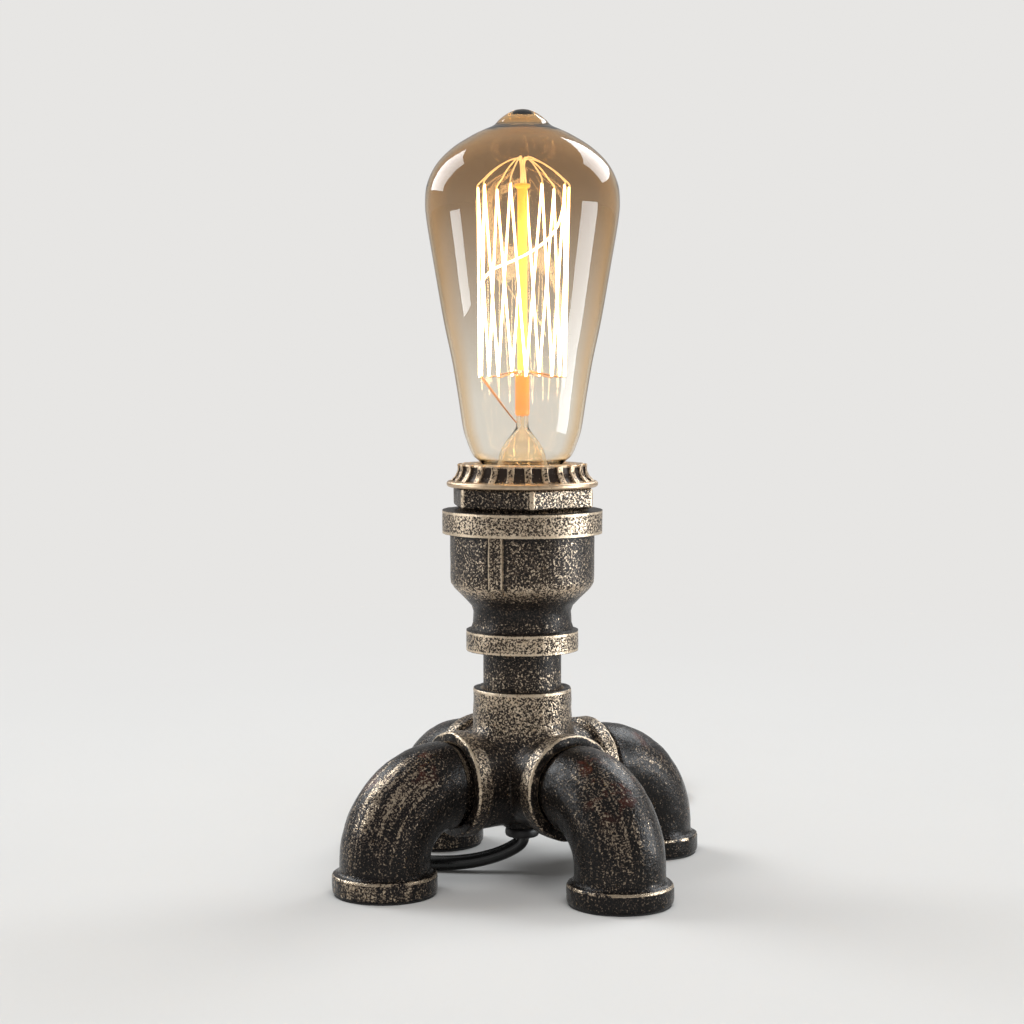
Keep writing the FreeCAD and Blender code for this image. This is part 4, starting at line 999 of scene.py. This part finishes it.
# ---- cord ----
LEAD_ROUTE = (
    (0.0, 0.0, 11.9), (-0.1, 0.0, 10.3), (-2.2, -0.4, 8.4), (-6.0, -1.1, 6.4), (-10.8, -2.0, 4.7),
    (-16.5, -3.1, 3.4), (-23.6, -4.4, 2.7), (-33.3, -4.6, 2.55), (-45.0, -1.6, 2.55),
    (-56.5, 7.5, 2.55), (-64.3, 21.4, 2.55), (-66.9, 37.1, 2.55), (-64.33, 53.3, 2.55),
    (-59.45, 64.26, 3.6), (-52.14, 73.13, 5.7), (-44.36, 78.58, 7.0), (-36.15, 81.45, 7.0),
)
LINK_ROUTE = (
    (11.04, 97.98, 7.0), (22.65, 102.04, 7.0), (31.86, 109.74, 4.9), (37.62, 119.92, 3.0),
    (39.35, 130.99, 2.55), (37.12, 141.76, 2.55), (31.65, 150.42, 2.55),
)
TAIL_ROUTE = (
    (-24.09, 183.65, 12.75), (-32.73, 184.36, 12.75), (-40.83, 183.06, 11.6),
    (-48.38, 179.85, 9.8), (-54.86, 174.99, 8.0), (-59.92, 168.8, 6.8),
    (-63.18, 161.93, 6.6), (-64.67, 154.68, 6.85), (-64.4, 148.07, 6.85),
)
COIL_AT = (-6.33, 149.48)
COIL_MEAN_R = 27.5
COIL_PITCH = 5.1
COIL_FLOOR = 2.55
COIL_START = 32.3
COIL_END_SHARE = 53.0 / 360
COIL_STEPS = 20
CROSSOVER = 0.2
# Each full turn's slot in the bundle, as (column from the middle, row from the floor).
COIL_SLOTS = ((1, 0), (0, 0), (-1, 0), (-1, 1), (-1, 2), (0, 2), (0, 1), (1, 1), (1, 2))


def coil_points():
    """Turns wound slot by slot, each crossing over to the next slot in its last stretch."""
    points = []
    total = len(COIL_SLOTS) - 1 + COIL_END_SHARE
    step_angle = 2 * math.pi / COIL_STEPS
    # Control points stand outside the line that they bend, by this share.
    outward = 1 / (0.75 + 0.25 * math.cos(step_angle))
    for i in range(int(total * COIL_STEPS) + 1):
        turn = min(int(i / COIL_STEPS), len(COIL_SLOTS) - 1)
        share = i / COIL_STEPS - turn
        following = min(turn + 1, len(COIL_SLOTS) - 1)
        t = max(0.0, (share - 1 + CROSSOVER) / CROSSOVER)
        t = t * t * (3 - 2 * t)
        column = COIL_SLOTS[turn][0] * (1 - t) + COIL_SLOTS[following][0] * t
        row = COIL_SLOTS[turn][1] * (1 - t) + COIL_SLOTS[following][1] * t
        angle = math.radians(COIL_START) + i * step_angle
        radius = (COIL_MEAN_R + column * COIL_PITCH) * outward
        points.append((COIL_AT[0] + radius * math.cos(angle), COIL_AT[1] + radius * math.sin(angle),
                       COIL_FLOOR + row * COIL_PITCH))
    return points


def make_cords():
    lead = curve_through("lamp_cord", [LEAD_ROUTE], CORD_R, 5, 6)
    place(lead, "lamp", "black_pvc", FINISH["cord"], "cord_lead")
    route = (*LINK_ROUTE, *coil_points(), *TAIL_ROUTE)
    mains = curve_through("mains_cord", [route], CORD_R, 5, 6)
    place(mains, "lamp", "black_pvc", FINISH["cord"], "cord_link", "cord_coil", "cord_tail")


def make_grommet():
    grommet = turned("rubber_grommet", [
        (2.6, 11.9), (4.6, 11.9), (5.4, 12.2), (5.75, 12.9), (5.75, 14.4), (5.3, 15.2), (4.3, 15.4),
        (4.3, 21.5), (5.4, 21.6), (5.4, 23.2), (2.6, 23.3),
    ], sides=48, ends="loop")
    modified(grommet, "SUBSURF", levels=1, render_levels=1)
    smooth(grommet, 60)
    place(grommet, "lamp", "black_rubber", FINISH["rubber"], "cord_grommet")


# ---- switch on the cord, along its own +X ----
SWITCH_AT = (-36.15, 81.45)
SWITCH_TURN = 19.3
SWITCH_L = 50.0
SWITCH_W = 22.0
SWITCH_H = 15.2
SWITCH_SPLIT = 7.0
SWITCH_SCREWS = ((SWITCH_L / 2 - 16.0, 6.4), (SWITCH_L / 2 + 16.0, -6.4))


def on_switch(obj):
    return carried(obj, (*SWITCH_AT, 0), SWITCH_TURN)


def shell_half(name, low, high, rim):
    """Half of the switch's case: a block with round corners and a rounded rim."""
    obj = block(name, (SWITCH_L, SWITCH_W, high - low), (SWITCH_L / 2, 0, (low + high) / 2))
    rounded_edges(obj, 7.0, 8, lambda a, b: abs(a.z - b.z) > 1)
    return rounded_edges(obj, 2.2, 5, lambda a, b: max(abs(a.z - rim), abs(b.z - rim)) < 0.01)


def make_switch():
    middle = SWITCH_L / 2
    base = shell_half("switch_lower_shell", 0.0, SWITCH_SPLIT - 0.15, 0.0)
    cover = shell_half("switch_upper_shell", SWITCH_SPLIT, SWITCH_H, SWITCH_H)
    well = rounded_box("rocker_well", (19.8, 9.8, 15.2), (middle, 0, SWITCH_H), 0.5)
    drilled(cover, well)
    for spot in SWITCH_SCREWS:
        drilled(base, drum("screw_hole", 2.6, 2.4, (*spot, 0)))
    for shell in (base, cover):
        smooth(on_switch(shell), 35)
    place(base, "lamp", "moulded_black", FINISH["moulded"], "switch_base")
    place(cover, "lamp", "moulded_black", FINISH["moulded"], "switch_cover")


def make_rocker():
    """The rocker key, tipped to its on side, with a dished top."""
    key = rounded_box("rocker_key", (18.0, 9.2, 6.4), (0, 0, 1.6), 0.8)
    for vertex in subdivided(key, 3).data.vertices:
        if vertex.co.z > 2.0 * MM:
            vertex.co.z -= 0.9 * MM * math.cos(math.pi * vertex.co.x / (18.0 * MM))
    key.rotation_euler.y = math.radians(8)
    settle(key)
    key.location = (SWITCH_L / 2 * MM, 0, 11.0 * MM)
    settle(key)
    smooth(on_switch(key), 40)
    place(key, "rocker", "gloss_black", FINISH["gloss"], "switch_rocker")


def make_switch_screws():
    parts = []
    for spot in SWITCH_SCREWS:
        head = drum("switch_fixings", 2.35, 1.1, (*spot, 0.65))
        modified(head, "BEVEL", width=0.25 * MM, segments=2, limit_method="ANGLE")
        for turn in (0, math.pi / 2):
            drilled(head, block("cross_slot", (3.0, 0.7, 1.0), (*spot, 0.1), turn + 0.4))
        parts.append(head)
    screws = joined(*parts)
    smooth(on_switch(screws), 35)
    place(screws, "lamp", "nickel", FINISH["nickel"], "switch_screws")


# ---- tie and plug ----
def make_tie():
    """A soft strap wrapped once round the bundle, with its end sticking out."""
    half = 1.5 * COIL_PITCH
    outside = half + 0.8
    strap = block("cord_tie", (2 * outside, 5.6, 2 * half + 0.7), (COIL_MEAN_R, 0, half + 0.45))
    # All of the box is still selected here, so the bevel rounds its side edges as well.
    editing(strap, None)
    bpy.ops.mesh.select_mode(type="EDGE")
    done_editing()
    for edge in strap.data.edges:
        a, b = (strap.data.vertices[i].co for i in edge.vertices)
        edge.select = abs(a.y - b.y) > 1 * MM
    editing(strap, None)
    bpy.ops.mesh.bevel(offset=2.6 * MM, segments=5, affect="EDGES")
    bpy.ops.mesh.select_mode(type="FACE")
    done_editing()
    for face in strap.data.polygons:
        face.select = abs(face.normal.y) > 0.9
    editing(strap, None)
    bpy.ops.mesh.delete(type="FACE")
    bpy.ops.mesh.select_mode(type="VERT")
    done_editing()
    modified(strap, "SOLIDIFY", thickness=0.7 * MM, offset=-1)
    tab = rounded_box("tie_end", (2.2, 8.6, 2.6), (COIL_MEAN_R + outside + 0.7, 0, half), 0.5)
    whole = carried(joined(strap, tab), (*COIL_AT, 0), 250)
    smooth(whole, 45)
    place(whole, "lamp", "black_rubber", FINISH["rubber"], "coil_tie")


PLUG_AT = (-64.4, 148.07, 6.85)
PLUG_TURN = 272.3
BOOT_L = 20.0
PLUG_L = 30.0


def at_plug(obj):
    return carried(obj, PLUG_AT, PLUG_TURN)


def laid(obj):
    """Turns a piece that was modelled along +Z to lie along +X."""
    obj.rotation_euler.y = math.pi / 2
    return settle(obj)


def make_plug():
    corners = [(2.6, 0.0), (3.2, 0.1), (3.4, 0.6)]
    for k in range(1, 5):
        x = k * BOOT_L / 5
        r = 3.4 + 1.5 * x / BOOT_L
        corners += [(r, x - 1.1), (r - 0.2, x - 0.85), (r - 0.7, x - 0.7), (r - 0.7, x + 0.6),
                    (r - 0.2, x + 0.8), (r + 0.1, x + 1.0)]
    corners += [(4.9, BOOT_L - 0.5), (4.9, BOOT_L)]
    boot = at_plug(laid(turned("plug_relief", corners, sides=48)))
    smooth(boot, 30)
    place(boot, "lamp", "black_rubber", FINISH["rubber"], "plug_boot")
    deselect()
    bpy.ops.mesh.primitive_circle_add(vertices=6, radius=1, fill_type="NGON", rotation=(0, math.pi / 2, 0))
    body = settle(bpy.context.object)
    body.name = "plug_shell"
    flat = 1 / math.cos(math.radians(30))
    sections = ((0, 14.0, 11.0), (5, 15.6, 11.5), (10, 20.2, 12.5), (16, 26.0, 13.7), (30, 26.0, 13.7))
    reach, wide, thick = sections[0]
    # A hexagon lying on its side: its corners point across, its flats lie above and below.
    for vertex in body.data.vertices:
        across, up = vertex.co.y, vertex.co.z
        vertex.co = ((BOOT_L + reach) * MM, across * wide / 2 * MM, up * flat * thick / 2 * MM)
    editing(body)
    for next_reach, next_wide, next_thick in sections[1:]:
        step = ((next_reach - reach) * MM, 0, 0)
        bpy.ops.mesh.extrude_region_move(TRANSFORM_OT_translate={"value": step})
        bpy.ops.transform.resize(value=(1, next_wide / wide, next_thick / thick),
                                 center_override=((BOOT_L + next_reach) * MM, 0, 0))
        reach, wide, thick = next_reach, next_wide, next_thick
    done_editing()
    tidy(body)
    modified(body, "BEVEL", width=1.4 * MM, segments=4, limit_method="ANGLE", angle_limit=math.radians(25))
    smooth(at_plug(body), 35)
    place(body, "lamp", "gloss_black", FINISH["gloss"], "plug_body")
    pins = []
    sleeves = []
    face = BOOT_L + PLUG_L
    for side in (-9.3, 9.3):
        pin = turned("plug_pin", [(1.5, face - 8.0), (1.5, face + 9.5), (2.0, face + 9.6), (2.0, face + 17.6),
                                  (1.7, face + 18.5), (1.0, face + 19.0)], sides=32)
        sleeve = turned("pin_sleeve", [(1.52, face), (1.95, face + 0.1), (1.95, face + 9.3),
                                       (1.52, face + 9.4)], sides=32, ends="loop")
        for piece, group in ((pin, pins), (sleeve, sleeves)):
            laid(piece)
            piece.location.y = side * MM
            group.append(settle(piece))
    pins = joined(*pins)
    pins.name = "plug_pin_pair"
    sleeves = joined(*sleeves)
    sleeves.name = "plug_pin_sleeves"
    smooth(at_plug(pins), 35)
    smooth(at_plug(sleeves), 35)
    place(pins, "lamp", "nickel", FINISH["nickel"], "plug_pins")
    place(sleeves, "lamp", "gloss_black", FINISH["gloss"], "pin_sleeves")


# ---- solids that keep their own shape ----
KEPT = {
    "holder_body": "moulded", "holder_insert": "porcelain", "screw_shell": "brass",
    "centre_contact": "brass", "terminal_blocks": "brass", "terminal_screws": "nickel",
    "cap_cement": "porcelain", "cap_insulator": "black_glass", "cap_contact": "nickel",
    "inner_cord": "cord", "live_core": "brown", "neutral_core": "blue", "cord_clamp": "moulded",
    "switch_terminals": "brass", "switch_spring": "brass",
}


def dress_solids():
    for node, finish in KEPT.items():
        dress(node, finish)
    for leg in LEGS:
        dress("foot_pad_" + leg, "rubber")


def dress(node, finish):
    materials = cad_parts[node].data.materials
    materials.clear()
    materials.append(FINISH[finish])


# ---- studio ----
CAMERA_AT = (126.2, -713.6, 171.9)
CAMERA_TURN = 10.3
CAMERA_DIP = 4.03
LENS = 76.92


def soft_light(name, spot, aim, size, power, colour=(1, 1, 1)):
    light = bpy.data.lights.new(name, "AREA")
    light.shape = "RECTANGLE"
    light.size, light.size_y = size
    light.energy = power
    light.color = colour
    obj = bpy.data.objects.new(name, light)
    bpy.context.scene.collection.objects.link(obj)
    obj.location = spot
    obj.rotation_euler = (Vector(aim) - Vector(spot)).to_track_quat("-Z", "Y").to_euler()
    obj.visible_camera = False
    obj.visible_transmission = False
    return obj


def from_camera(angle, rise, away):
    """A step of this length, angle degrees round from the camera's side and rise degrees up."""
    way = math.radians(CAMERA_TURN + angle)
    flat = away * math.cos(math.radians(rise))
    return Vector((flat * math.sin(way), -flat * math.cos(way), away * math.sin(math.radians(rise))))


def make_studio():
    scene = bpy.context.scene
    scene.view_settings.view_transform = "Standard"
    camera = bpy.data.objects.new("camera", bpy.data.cameras.new("camera"))
    scene.collection.objects.link(camera)
    camera.data.sensor_width = 36
    camera.data.lens = LENS
    camera.data.clip_start = 0.01
    camera.location = Vector(CAMERA_AT) * MM
    camera.rotation_euler = (math.radians(90 - CAMERA_DIP), 0, math.radians(CAMERA_TURN))
    scene.camera = camera

    pale = (0.80, 0.79, 0.775)
    floor = Paint("pale_table")
    floor.set(Base_Color=floor.blend(floor.noise(260.0, 3.0), (0.60, 0.59, 0.575), (0.64, 0.63, 0.615)),
              Roughness=0.8, Specular_IOR_Level=0.0, Normal=floor.bump(floor.noise(9.0), 0.05, 0.3))
    far = floor.banded(floor.reach(), (160, 0.0), (800, 1.0))
    distance = floor.nodes.new("ShaderNodeEmission")
    distance.inputs[0].default_value = (*pale, 1)
    floor.mixed(floor.times(far, seen(floor)), distance)
    table = added("table", bpy.ops.mesh.primitive_plane_add, size=40.0)
    table.data.materials.append(floor.material)

    world = bpy.data.worlds.new("studio")
    scene.world = world
    world.use_nodes = True
    tree = world.node_tree
    room = tree.nodes["Background"]
    room.inputs[0].default_value = (0.80, 0.795, 0.79, 1)
    room.inputs[1].default_value = 0.5
    backdrop = tree.nodes.new("ShaderNodeBackground")
    backdrop.inputs[0].default_value = (*pale, 1)
    path = tree.nodes.new("ShaderNodeLightPath")
    rays = tree.nodes.new("ShaderNodeMath")
    rays.operation = "MAXIMUM"
    tree.links.new(path.outputs["Is Camera Ray"], rays.inputs[0])
    tree.links.new(path.outputs["Is Transmission Ray"], rays.inputs[1])
    either = tree.nodes.new("ShaderNodeMixShader")
    tree.links.new(rays.outputs[0], either.inputs[0])
    tree.links.new(room.outputs[0], either.inputs[1])
    tree.links.new(backdrop.outputs[0], either.inputs[2])
    tree.links.new(either.outputs[0], tree.nodes["World Output"].inputs[0])

    bulb_middle = Vector((0, 0, 0.21))
    cool = (0.93, 0.97, 1.0)
    # The boxes and strips are only mirrored; each: way round from the camera, rise, distance,
    # width and height in metres, watts.
    for name, angle, rise, away, size, power in (
            ("left_high_box", -122, 28, 0.75, (0.42, 0.50), 4.0),
            ("right_high_box", 133, 33, 0.75, (0.56, 0.36), 3.8),
            ("left_strip", -84, -10, 0.36, (0.10, 0.085), 0.25),
            ("right_strip", 83, -13, 0.36, (0.16, 0.21), 0.95)):
        spot = bulb_middle + from_camera(angle, rise, away)
        soft_light(name, spot, bulb_middle, size, power, cool).visible_diffuse = False
    # The keys light the matt surfaces from the same sides, from further away.
    for name, angle, power in (("left_key", -122, 19.0), ("right_key", 133, 18.0)):
        spot = bulb_middle + from_camera(angle, 40, 1.8)
        soft_light(name, spot, bulb_middle, (0.9, 0.9), power, cool).visible_glossy = False
    fill = soft_light("top_fill", (0.15, -0.45, 1.1), bulb_middle, (0.7, 0.5), 5.0)
    fill.visible_glossy = False


def seen(paint):
    """1 for what the camera sees directly or through glass."""
    path = paint.nodes.new("ShaderNodeLightPath")
    return paint.most(path.outputs["Is Camera Ray"], path.outputs["Is Transmission Ray"])


make_cross()
make_socket()
for leg_name, leg_angle in LEGS.items():
    make_elbow(leg_name, leg_angle)
make_nipple()
make_hexagon()
make_shade_ring()
make_bulb_glass()
make_glass_stem()
make_rod()
make_filament()
make_hooks()
make_screw_cap()
make_grommet()
make_switch()
make_rocker()
make_switch_screws()
make_tie()
make_plug()
make_cords()
dress_solids()
make_studio()
